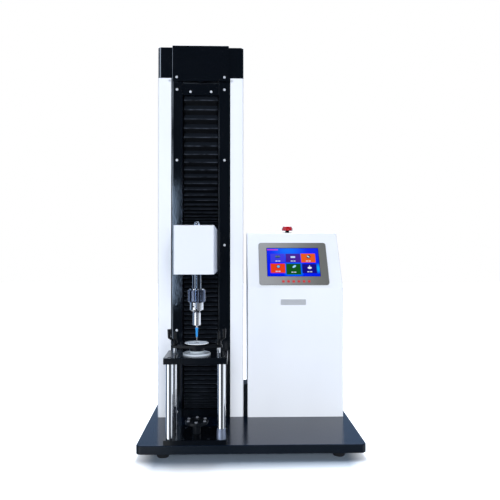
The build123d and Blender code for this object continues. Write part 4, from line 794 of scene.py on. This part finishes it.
# %% The solids of a node
def solids_of(node_name):
    """The boxes of a node's separate solids, each as its lowest and highest corner."""
    work = bmesh.new()
    work.from_mesh(frame["nodes"][node_name].data)
    bmesh.ops.remove_doubles(work, verts=work.verts, dist=1e-6)
    seen, boxes = set(), []
    for first in work.verts:
        if first in seen:
            continue
        seen.add(first)
        group = [first]
        for corner in group:
            for edge in corner.link_edges:
                other = edge.other_vert(corner)
                if other not in seen:
                    seen.add(other)
                    group.append(other)
        places = [corner.co for corner in group]
        low = Vector(min(place[i] for place in places) for i in range(3))
        high = Vector(max(place[i] for place in places) for i in range(3))
        boxes.append((low, high))
    work.free()
    return boxes


print("solids in front_screws", len(solids_of("front_screws")))

# %% Places of the screws
front_places, rear_places, m6_places, m4_places = [], [], [], []
for low, high in solids_of("front_screws"):
    centre = (low + high) / 2
    front_places.append((centre.x, low.y + m4_height, centre.z))
for low, high in solids_of("rear_screws"):
    centre = (low + high) / 2
    rear_places.append((centre.x, high.y - m4_height, centre.z))
for low, high in solids_of("fixture_screws"):
    centre = (low + high) / 2
    if high.x - low.x > (m4_head + m6_head) / 2:
        m6_places.append((centre.x, centre.y, high.z - m6_height))
    else:
        m4_places.append((centre.x, centre.y, high.z - m4_height))
print("screws", len(front_places + rear_places + m6_places + m4_places))

# %% Screws on their places
def screws(name, places, screw_mesh, facing, seed, material):
    """One mesh of screws, seated on their places."""
    master = new_object(name + "_master", screw_mesh)
    piece = new_object(name, mesh_of(name, places, []))
    values = {"Screw": master, "Facing": facing, "Turn Seed": seed, "Material": material}
    cook(piece, set_screws, values)
    bpy.data.objects.remove(master)
    shaded(piece.data, 30)
    return piece


upwards, frontwards, rearwards = (0, 0, 0), (pi / 2, 0, 0), (-pi / 2, 0, 0)
front_heads = screws("cover_screws_front", front_places, pan, frontwards, 3, zinc)
rear_heads = screws("cover_screws_rear", rear_places, pan, rearwards, 4, zinc)
table_heads = screws("fixture_plate_screws", m6_places, m6_screw, upwards, 5, turned_steel)
seat_heads = screws("adapter_seat_screws", m4_places, m4_screw, upwards, 6, seat_steel)
dress(front_heads, "root", replaced=["front_screws"])
dress(rear_heads, "root", replaced=["rear_screws"])
dress(table_heads, "root", replaced=["fixture_screws"])
dress(seat_heads, "root", replaced=["fixture_screws"])
print("faces of the front screws", len(front_heads.data.polygons))

# %% [markdown]
# ## Cloth for the guards
# The guards are coated cloth, nearly black with a fine weave. A paler painted highlight runs along each
# ridge, with painted light on the upper face of each fold and painted shade under it.
# The pattern has to follow the pleats, which aren't evenly spaced, so it reads a UV map that
# counts them: the fraction of its second value is 0 in a valley and a half on a ridge.

# %% Cloth for the guards
def guard_cloth(threads=9000):
    finish = Finish("guard_cloth", {"Specular IOR Level": 0.25})
    pleats = finish.split(finish.node("ShaderNodeTexCoord", output="UV"))[1]
    fold = finish.maths("FRACT", pleats)
    ridge = finish.ease(abs(fold - 0.5), 0.10, 0.0)
    # Painted highlight along each ridge, broken up by noise.
    painted_highlight = ridge * finish.ease(finish.noise(60, 3), 0.25, 0.7)
    # Painted light on the upper face of each fold, painted shade under the ridge.
    painted_light_above_ridge = finish.ease(fold, 0.42, 0.62)
    painted_shading = finish.mix(painted_light_above_ridge, (0.0015, 0.002, 0.003), (0.0075, 0.010, 0.0145))
    finish.feed("Base Color", finish.mix(painted_highlight, painted_shading, (0.055, 0.065, 0.085)))
    finish.feed("Roughness", 0.42 + finish.noise(30, 2) * 0.25)
    x, _, z = finish.split(finish.place)
    weave = finish.maths("SINE", x * threads) * finish.maths("SINE", z * threads)
    finish.bump(weave + finish.noise(220, 2) * 2, 0.25, 0.3 * mm)
    return finish.material


cloth = guard_cloth()
print("cloth", cloth.name)

# %% [markdown]
# ## Pleats of a guard
# Two folded guards keep dust off the ball screw, above and below the crosshead. A cloth
# simulation could fold them, but folds that were pressed into the cloth follow a rule, and a
# rule is surer. A hanging guard is squeezed at its foot and opens above, so the valleys
# between its pleats start close together, and their distance eases to the full one.

# %% Levels of the valleys
def pleat_levels(low, high, count, tight, loose, gather):
    """Valley levels of a hanging guard: tight below, opening to loose over its first pleats."""
    widths = []
    for i in range(count):
        share = min(1, i / gather)
        widths.append(tight + (loose - tight) * share * share * (3 - 2 * share))
    levels = [low]
    for width in widths:
        levels.append(levels[-1] + width * (high - low) / sum(widths))
    return levels


upper_low, upper_high = (corner.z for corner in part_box("upper_bellows"))
lower_low, lower_high = (corner.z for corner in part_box("lower_bellows"))
upper_levels = pleat_levels(upper_low, upper_high, count=23, tight=6.5, loose=28, gather=22)
lower_levels = pleat_levels(lower_low, lower_high, count=33, tight=6, loose=13.5, gather=10)
print("pleats above", len(upper_levels) - 1, "and below", len(lower_levels) - 1)

# %% [markdown]
# A ring of points goes round the guard's front and sides at one level. It lies deepest in a
# valley and furthest out on a ridge. A slight ripple in its height keeps the folds from
# looking ruled.

# %% One ring
guard_half_width = 49 * mm
guard_front = 20 * mm
guard_rear = 46 * mm
pleat_depth = 10 * mm
side_pleat_depth = 1.4 * mm
corner_radius = 3 * mm
ripple = 0.175 * mm
ripple_across, ripple_up = 70, 210
front_steps = 14
guard_low, guard_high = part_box("upper_bellows")
column_middle = ((guard_low + guard_high) / 2).x


def guard_ring(depth, level, rippled=True):
    """One ring: depth 0 in a valley, 1 on a ridge. It runs from rear left round the front."""
    half = guard_half_width - side_pleat_depth * (1 - depth)
    front = guard_front + pleat_depth * (1 - depth)
    inner = half - corner_radius
    left = [(-half, guard_rear), (-half, (guard_rear + front) / 2), (-half, front + corner_radius)]
    left += [(-half + corner_radius * 0.3, front + corner_radius * 0.3), (-inner, front)]
    across = [(inner * (2 * i / front_steps - 1), front) for i in range(1, front_steps)]
    right = [(-x, y) for x, y in reversed(left)]
    points = []
    for x, y in left + across + right:
        wave = ripple * sin(x * ripple_across + level * ripple_up) * (0.3 + depth)
        points.append((column_middle + x, y, level + (wave if rippled else 0)))
    return points


print("a ring has", len(guard_ring(0, 0)), "points")

# %% [markdown]
# Ten rings make a pleat. A fold of coated cloth is rounded and not creased like paper, so its
# depth is mostly a straight ramp with some of a cosine. The first and the last ring are
# clamped flat by the brackets, and have no ripple.

# %% The rings of a guard
rings_per_pleat = 10
straight_share = 0.72


def guard_rings(levels):
    """The rings of a guard, each with the count of pleats below it."""
    rings = []
    for number, (low, high) in enumerate(zip(levels, levels[1:])):
        for i in range(rings_per_pleat):
            share = i / rings_per_pleat
            fold = 1 - abs(2 * share - 1)
            depth = fold * straight_share + (1 - cos(pi * fold)) / 2 * (1 - straight_share)
            still = number == 0 and i == 0
            rings.append((guard_ring(depth, low + (high - low) * share, not still), number + share))
    rings.append((guard_ring(0, levels[-1], False), len(levels) - 1))
    return rings


print("rings above", len(guard_rings(upper_levels)), "and below", len(guard_rings(lower_levels)))

# %% [markdown]
# The rings become one open sheet, which Solidify then gives the cloth's thickness. Measuring
# along a ridge and across the pleats gives the flat size to which the cloth was cut.

# %% The cloth of a guard
cloth_thickness = 0.8 * mm


def length_along(points):
    return sum((Vector(a) - Vector(b)).length for a, b in zip(points, points[1:]))


def guard(name, levels):
    """The cloth of one guard, and the size it was cut to."""
    rings = guard_rings(levels)
    count = len(rings[0][0])
    mesh = bpy.data.meshes.new(name)
    points = [point for ring, _ in rings for point in ring]
    mesh.from_pydata(points, [], strip_faces(len(rings), count, closed=False))
    layer = mesh.uv_layers.new(name="pleats")
    for loop in mesh.loops:
        row, place = divmod(loop.vertex_index, count)
        layer.data[loop.index].uv = (place / count, rings[row][1])
    ridge, front_point = rings_per_pleat // 2, 9
    flat = (length_along(rings[ridge][0]), length_along([ring[front_point] for ring, _ in rings]))
    piece = new_object(name, mesh)
    wall = piece.modifiers.new("cloth", "SOLIDIFY")
    wall.thickness = cloth_thickness
    wall.offset = -1
    shaded(plain(piece).data, 50)
    return piece, flat


upper_guard, upper_flat = guard("upper_guard", upper_levels)
lower_guard, lower_flat = guard("lower_guard", lower_levels)
print("guards cut to", [round(size, 3) for size in upper_flat + lower_flat])

# %% [markdown]
# A guard hangs between the crosshead, which moves, and the column, which doesn't. Each guard
# takes the cloth finish in place of its imported node, and its transform is baked into its mesh.

# %% The guards take their cloth
def even_blend(piece):
    """Bakes a guard's transform into its mesh."""
    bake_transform(piece)


dress(upper_guard, None, cloth, ["upper_bellows"])
dress(lower_guard, None, cloth, ["lower_bellows"])
even_blend(upper_guard)
even_blend(lower_guard)
print("travel shared by", len(upper_levels) + len(lower_levels) - 2, "pleats")

# %% [markdown]
# ## Touch screen
# The screen is a thin pane of glass that lies on the slope of the box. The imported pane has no
# UV map, so a new one with the same size stands in for it. Its box gives the size: a slanted
# plate's depth and height are two equations for its length up the slope and its thickness.

# %% The slope
slope = radians(34)
up_slope = Vector((0, sin(slope), cos(slope)))
off_slope = Vector((0, -cos(slope), sin(slope)))
glass_low, glass_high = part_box("screen_glass")
glass_width, deep, tall = glass_high - glass_low
shear = cos(slope) ** 2 - sin(slope) ** 2
glass_height = (tall * cos(slope) - deep * sin(slope)) / shear
glass_thickness = (deep * cos(slope) - tall * sin(slope)) / shear
glass_corner = glass_low + Vector((0, 0, glass_thickness * sin(slope)))


def on_slope(across, up, off=0.0):
    """A point from its place across, up and off the front of the glass."""
    return glass_corner + Vector((across, 0, 0)) + up_slope * up + off_slope * off


print("screen", [round(size / mm) for size in (glass_width, glass_height)], "mm")

# %% The pane
def rounded_outline(width, height, radius, steps=6):
    """A rectangle with round corners, from its lower left corner."""
    outline = []
    for number, (x, y) in enumerate([(width, height), (0, height), (0, 0), (width, 0)]):
        centre_x = min(max(x, radius), width - radius)
        centre_y = min(max(y, radius), height - radius)
        for i in range(steps + 1):
            turn = (number + i / steps) * pi / 2
            outline.append((centre_x + radius * cos(turn), centre_y + radius * sin(turn)))
    return outline


def glass_pane(name, radius, bevel):
    """The pane, with round corners and a bevelled front edge."""
    rings = []
    steps = [(0, -glass_thickness), (0, -bevel), (bevel * 0.3, -bevel * 0.3), (bevel, 0)]
    for inset, off in steps:
        outline = rounded_outline(glass_width - 2 * inset, glass_height - 2 * inset, radius - inset)
        rings.append([on_slope(inset + x, inset + y, off) for x, y in outline])
    count = len(rings[0])
    points = [tuple(point) for ring in rings for point in ring]
    ends = [tuple(range(count)), tuple(range(len(points) - count, len(points)))]
    return shaded(mesh_of(name, points, ends + strip_faces(len(rings), count)), 40)


pane_mesh = glass_pane("touch_pane", 2 * mm, 0.5 * mm)
pane = new_object("touch_pane", pane_mesh)
layer = pane_mesh.uv_layers.new(name="picture")
for loop in pane_mesh.loops:
    place = pane_mesh.vertices[loop.vertex_index].co - glass_corner
    layer.data[loop.index].uv = (place.x / glass_width, place.dot(up_slope) / glass_height)
print("pane faces", len(pane_mesh.polygons))

# %% [markdown]
# ## The lit picture
# The screen is on in the photograph. A lit screen is dark glass whose picture comes from
# emission, so the glass keeps its own reflections. An image texture would do, but the picture
# is so simple that it can be drawn with nodes at any sharpness. The pane's UV map runs from 0
# to 1 across it, a box is two comparisons on it, and a spot is a distance.

# %% Boxes and spots
screen_aspect = 1.54
screen_steady = {"Base Color": (0.001, 0.001, 0.002), "Roughness": 0.12, "Emission Strength": 1.0}
screen = Finish("lit_screen", screen_steady)
u, v, _ = screen.split(screen.node("ShaderNodeTexCoord", output="UV"))


def box(across, up, wide, tall, soft=0.008):
    """1 within a box of the picture, with soft edges."""
    side = screen.ease(abs(u - across), wide / 2 + soft, wide / 2 - soft)
    return side * screen.ease(abs(v - up), tall / 2 + soft * 1.5, tall / 2 - soft * 1.5)


def spot(across, up, size, stretch=1.0, lean=0.0, blur=0.75):
    """1 within a round spot; stretch makes it longer across, lean slants it."""
    x = (u - across + (v - up) * lean) / (size * stretch)
    y = (v - up) / (size * screen_aspect)
    return screen.ease(screen.maths("SQRT", x * x + y * y), 1.15, blur)


print("boxes and spots read the picture's own UV map")

# %% [markdown]
# The ground is a deep blue that is lighter in a few places, with one line in the upper left
# corner. Each layer is mixed over the one before, as in a drawing program.

# %% The ground
picture = screen.mix(spot(0.42, 0.93, 0.30, 1.2, blur=0), (0.0, 0.012, 0.88), (0.0, 0.15, 1.0))
grounds = [
    (spot(0.97, 0.28, 0.12, 0.8, blur=0), (0.0, 0.42, 1.0)),
    (box(0.5, 0.25, 0.32, 0.42, 0.04), (0.0, 0.18, 0.95)),
    (box(0.115, 0.935, 0.21, 0.035), (0.60, 0.05, 0.60)),
]
for mask, colour in grounds:
    picture = screen.mix(mask, picture, colour)
print("layers of the ground", 1 + len(grounds))

# %% [markdown]
# Six tiles follow, in two rows. Each has a short pale bar near its foot, and a sign above it
# that is put together from a few boxes and spots.

# %% Tiles
tile_width = 0.275
tiles = [
    (0.21, 0.64, 0.30, (0.045, 0.045, 0.75)),
    (0.50, 0.64, 0.30, (0.055, 0.010, 0.30)),
    (0.79, 0.64, 0.31, (0.80, 0.10, 0.003)),
    (0.205, 0.285, 0.32, (0.80, 0.045, 0.006)),
    (0.50, 0.255, 0.37, (0.004, 0.09, 0.008)),
    (0.80, 0.27, 0.31, (0.006, 0.002, 0.22)),
]
for across, up, height, colour in tiles:
    picture = screen.mix(box(across, up, tile_width, height), picture, colour)
    bar = box(across, up - 0.105, 0.09, 0.03, 0.006) * (abs(u - across) > 0.006)
    picture = screen.mix(bar, picture, (0.62, 0.66, 0.85))
print("tiles", len(tiles))

# %% Signs on the tiles
signs = [
    (box(0.21, 0.685, 0.085, 0.09), (0.02, 0.055, 0.22)),
    (spot(0.185, 0.70, 0.018, 1.4), (0.10, 0.16, 0.20)),
    (spot(0.235, 0.70, 0.018, 1.4), (0.10, 0.16, 0.20)),
    (box(0.50, 0.675, 0.085, 0.06), (0.55, 0.72, 1.0)),
    (spot(0.80, 0.685, 0.040), (0.01, 0.02, 0.06)),
    (spot(0.795, 0.69, 0.022, 0.9, 0.5), (0.50, 0.82, 1.0)),
    (spot(0.215, 0.34, 0.040), (0.12, 0.02, 0.03)),
    (spot(0.215, 0.345, 0.028), (0.12, 0.52, 1.0)),
    (spot(0.51, 0.335, 0.042, 1.0, -0.4), (0.01, 0.03, 0.05)),
    (spot(0.515, 0.345, 0.030, 1.0, -0.4), (0.35, 0.78, 1.0)),
    (spot(0.805, 0.30, 0.026, 1.5), (0.88, 0.90, 1.0)),
    (box(0.805, 0.35, 0.012, 0.07, 0.004), (0.62, 0.66, 0.90)),
]
for mask, colour in signs:
    picture = screen.mix(mask, picture, colour)
print("parts of the signs", len(signs))

# %% The light of the pane
lit_area = box(0.5, 0.5, 0.985, 0.978, 0.004)
screen.feed("Emission Color", screen.mix(lit_area, (0, 0, 0), picture))
dress(pane, "root", screen.material, ["screen_glass"])
print("nodes in the picture", len(screen.data.nodes))

# %% [markdown]
# ## Pads on the bezel
# Six small red pads sit under the screen. They are alike and evenly spaced, so one soft-edged
# pad is drawn once, and a Geometry Nodes tree lays it along a line on the slope.

# %% One pad
def soft_pad(side, corner, rise):
    """A low square pad with round corners and a soft upper edge, lying on height 0."""
    points = []
    rings = [(0, -0.2 * mm), (0, rise * 0.5), (rise * 0.25, rise * 0.85), (rise * 0.9, rise)]
    for inset, height in rings:
        outline = rounded_outline(side - 2 * inset, side - 2 * inset, corner)
        points += [(x + inset - side / 2, y + inset - side / 2, height) for x, y in outline]
    count = len(points) // len(rings)
    ends = [tuple(range(count)), tuple(range(len(points) - count, len(points)))]
    return shaded(mesh_of("soft_pad", points, strip_faces(len(rings), count) + ends), 50)


pad_side = 7.4 * mm
pad_master = new_object("pad_master", soft_pad(pad_side, 1.6 * mm, 0.6 * mm))
print("pad", round(pad_side / mm, 1), "mm")

# %% The tree that lays pads on a line
def row_recipe():
    inputs = [("Pad", "Object"), ("Count", "Int"), ("Start", "Vector"), ("Pitch", "Vector")]
    inputs += [("Facing", "Rotation"), ("Material", "Material")]
    recipe, given = new_recipe("pads_on_a_line", inputs)
    sockets = {"Object": given["Pad"]}
    pad = recipe.node("GeometryNodeObjectInfo", sockets=sockets, output="Geometry")
    sockets = {"Count": given["Count"], "Start Location": given["Start"], "Offset": given["Pitch"]}
    line = recipe.node("GeometryNodeMeshLine", sockets=sockets)
    sockets = {"Points": line, "Instance": pad, "Rotation": given["Facing"]}
    placed = recipe.node("GeometryNodeInstanceOnPoints", sockets=sockets)
    close_recipe(recipe, placed, given["Material"])
    return recipe


pads_on_a_line = row_recipe()
print("nodes in the pad tree", len(pads_on_a_line.data.nodes))

# %% A row of pads
pad_count = 6
pad_pitch = 14.7 * mm
pad_drop = 16.6 * mm
row_middle = glass_width / 2 + 5 * mm
bezel_over_glass = 1 * mm
first_pad = on_slope(row_middle - pad_pitch * (pad_count - 1) / 2, -pad_drop, bezel_over_glass)
pad_values = {
    "Pad": pad_master,
    "Count": pad_count,
    "Start": first_pad,
    "Pitch": Vector((pad_pitch, 0, 0)),
    "Facing": (pi / 2 - slope, 0, 0),
    "Material": pad_red,
}
bezel_pads = new_object("bezel_pads", mesh_of("bezel_pads", [tuple(first_pad)], []))
shaded(cook(bezel_pads, pads_on_a_line, pad_values).data, 50)
bpy.data.objects.remove(pad_master)
dress(bezel_pads, "root")
print("pads", pad_count, "every", round(pad_pitch / mm, 1), "mm")

# %% [markdown]
# ## Floor
# The machine stands on white paper that fades into a white ground. To the camera the paper
# lights itself from a hand's breadth beyond the base. Close to the base it doesn't, and its colour
# there is a painted blue-grey shadow of the machine. To everything else it is a darker grey, so that it
# doesn't glow on the covers from below, and the glossy parts don't mirror it. It belongs to the stage,
# and isn't part of the machine.

# %% Floor
floor_reach = 8.0
painted_shadow_reach = 0.12


def floor_paper():
    """White paper. Its painted shadow is widest before the base's front and fades towards its ends."""
    finish = Finish("floor_paper", {"Emission Strength": 1.0})
    x, y, _ = finish.split(finish.place)
    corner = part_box("base_plate")[1]
    inwards = finish.maths("MAXIMUM", abs(x) - (corner.x - 50 * mm), 0.0)
    beside = finish.maths("MAXIMUM", abs(x) - corner.x, 0.0)
    before = finish.maths("MAXIMUM", abs(y) - corner.y, 0.0)
    clear_of_painted_shadow = finish.ease(inwards * 1.2 + beside * 8 + before, 0.0, painted_shadow_reach)
    seen = finish.node("ShaderNodeLightPath", output="Is Camera Ray")
    # Close to the base the paper's colour is a painted blue-grey shadow, and only further out does it
    # light itself for the camera.
    paper_with_painted_shadow = finish.mix(clear_of_painted_shadow, (0.38, 0.46, 0.56), (0.86, 0.88, 0.91))
    finish.feed("Base Color", finish.mix(seen, (0.3, 0.33, 0.38), paper_with_painted_shadow))
    finish.feed("Emission Color", finish.mix(clear_of_painted_shadow * seen, (0, 0, 0), (1, 1, 1)))
    finish.feed("Roughness", 0.55 + finish.noise(3) * 0.1)
    return finish.material


floor_mesh = bpy.data.meshes.new("studio_floor")
floor_corners = [(x * floor_reach, y * floor_reach, 0) for x, y in [(-1, -1), (1, -1), (1, 1), (-1, 1)]]
floor_mesh.from_pydata(floor_corners, [], [(0, 1, 2, 3)])
floor_mesh.materials.append(floor_paper())
floor = new_object("studio_floor", floor_mesh)
floor.visible_glossy = False
print("floor", 2 * floor_reach, "m wide")

# %% [markdown]
# ## World
# The camera sees a pure white ground. The machine itself is lit by a dim bluish world that is
# brighter behind it and above, and almost dark behind the camera. That keeps the black faces
# that look at the camera black, and gives their sides a cool sheen.

# %% World
def studio_world():
    world = bpy.data.worlds.new("studio_world")
    world.use_nodes = True
    tree = Tree(world.node_tree)
    _, away, up = tree.split(tree.node("ShaderNodeTexCoord", output="Generated"))
    share = tree.ease(away + up * 0.3, -0.05, 0.55)
    light = tree.mix(share, (0.022, 0.028, 0.040), (0.30, 0.43, 0.64))
    seen = tree.node("ShaderNodeLightPath", output="Is Camera Ray")
    sockets = {"Color": tree.mix(seen, light, (1, 1, 1)), "Strength": 1.0}
    background = tree.node("ShaderNodeBackground", sockets=sockets)
    tree.add("ShaderNodeOutputWorld", sockets={"Surface": background})
    return world


studio.world = studio_world()
print("world", studio.world.name)

# %% [markdown]
# ## Lights
# Soft boxes stand to the left and right, where the rounded posts and the black edges mirror
# them as long highlights. Two low cards reach below the floor, which mirrors don't see, and
# so they show in the posts' lower halves. One narrow strip near the camera gives the left
# strip of the column its blue reflection, and a box behind lights the upper edges. Two fills
# light the white faces from the front and from above. Those would whiten every black face, so
# they are kept out of reflections. No light can be seen by the camera.

# %% A soft box
aim = Vector((0, 0, 0.5))


def softbox(name, azimuth, elevation, distance, size, watts, colour, mirrored=True):
    """A soft box aimed at the machine. Azimuth 0 is the camera's side, and + is to the right."""
    data = bpy.data.lights.new(name, "AREA")
    data.shape = "RECTANGLE"
    data.size, data.size_y = size
    data.energy = watts
    data.color = colour
    turn, rise = radians(azimuth), radians(elevation)
    direction = Vector((sin(turn) * cos(rise), -cos(turn) * cos(rise), sin(rise)))
    lamp = new_object(name, data)
    lamp.location = aim + distance * direction
    lamp.rotation_euler = (-direction).to_track_quat("-Z", "Y").to_euler()
    lamp.visible_camera = False
    lamp.visible_glossy = mirrored


print("lights aim at a height of", aim.z, "m")

# %% The lights of the studio
softbox("left_softbox", -42, 8, 2.2, (1.3, 1.7), 3, (0.86, 0.92, 1.0))
softbox("left_strip_light", -46, 0, 2.2, (0.22, 2.2), 4.5, (0.88, 0.94, 1.0))
softbox("front_card", 18, 0, 2.2, (0.7, 1.1), 1.0, (0.85, 0.90, 1.0))
softbox("mirror_strip", -12.2, 1.7, 2.2, (0.05, 0.78), 1.45, (0.51, 0.70, 1.0))
softbox("right_softbox", 108, 0, 2.2, (1.3, 1.9), 5, (0.85, 0.92, 1.0))
softbox("low_left_card", -42, -20, 2.2, (2.3, 0.88), 7, (0.92, 0.96, 1.0))
softbox("low_right_card", 78, -20, 2.2, (2.8, 0.88), 7, (0.88, 0.94, 1.0))
softbox("rear_softbox", 175, 52, 2.4, (2.4, 1.6), 60, (0.86, 0.93, 1.0))
softbox("camera_fill", 3, 9, 8.0, (3.6, 3.6), 665, (0.96, 0.98, 1.0), mirrored=False)
softbox("top_fill", 180, 64, 3.0, (1.4, 1.4), 48, (0.92, 0.96, 1.0), mirrored=False)
studio.view_settings.view_transform = "Standard"
print("lights", len(bpy.data.lights))

# %% [markdown]
# ## The end

# %% The end
print("the scene is built")
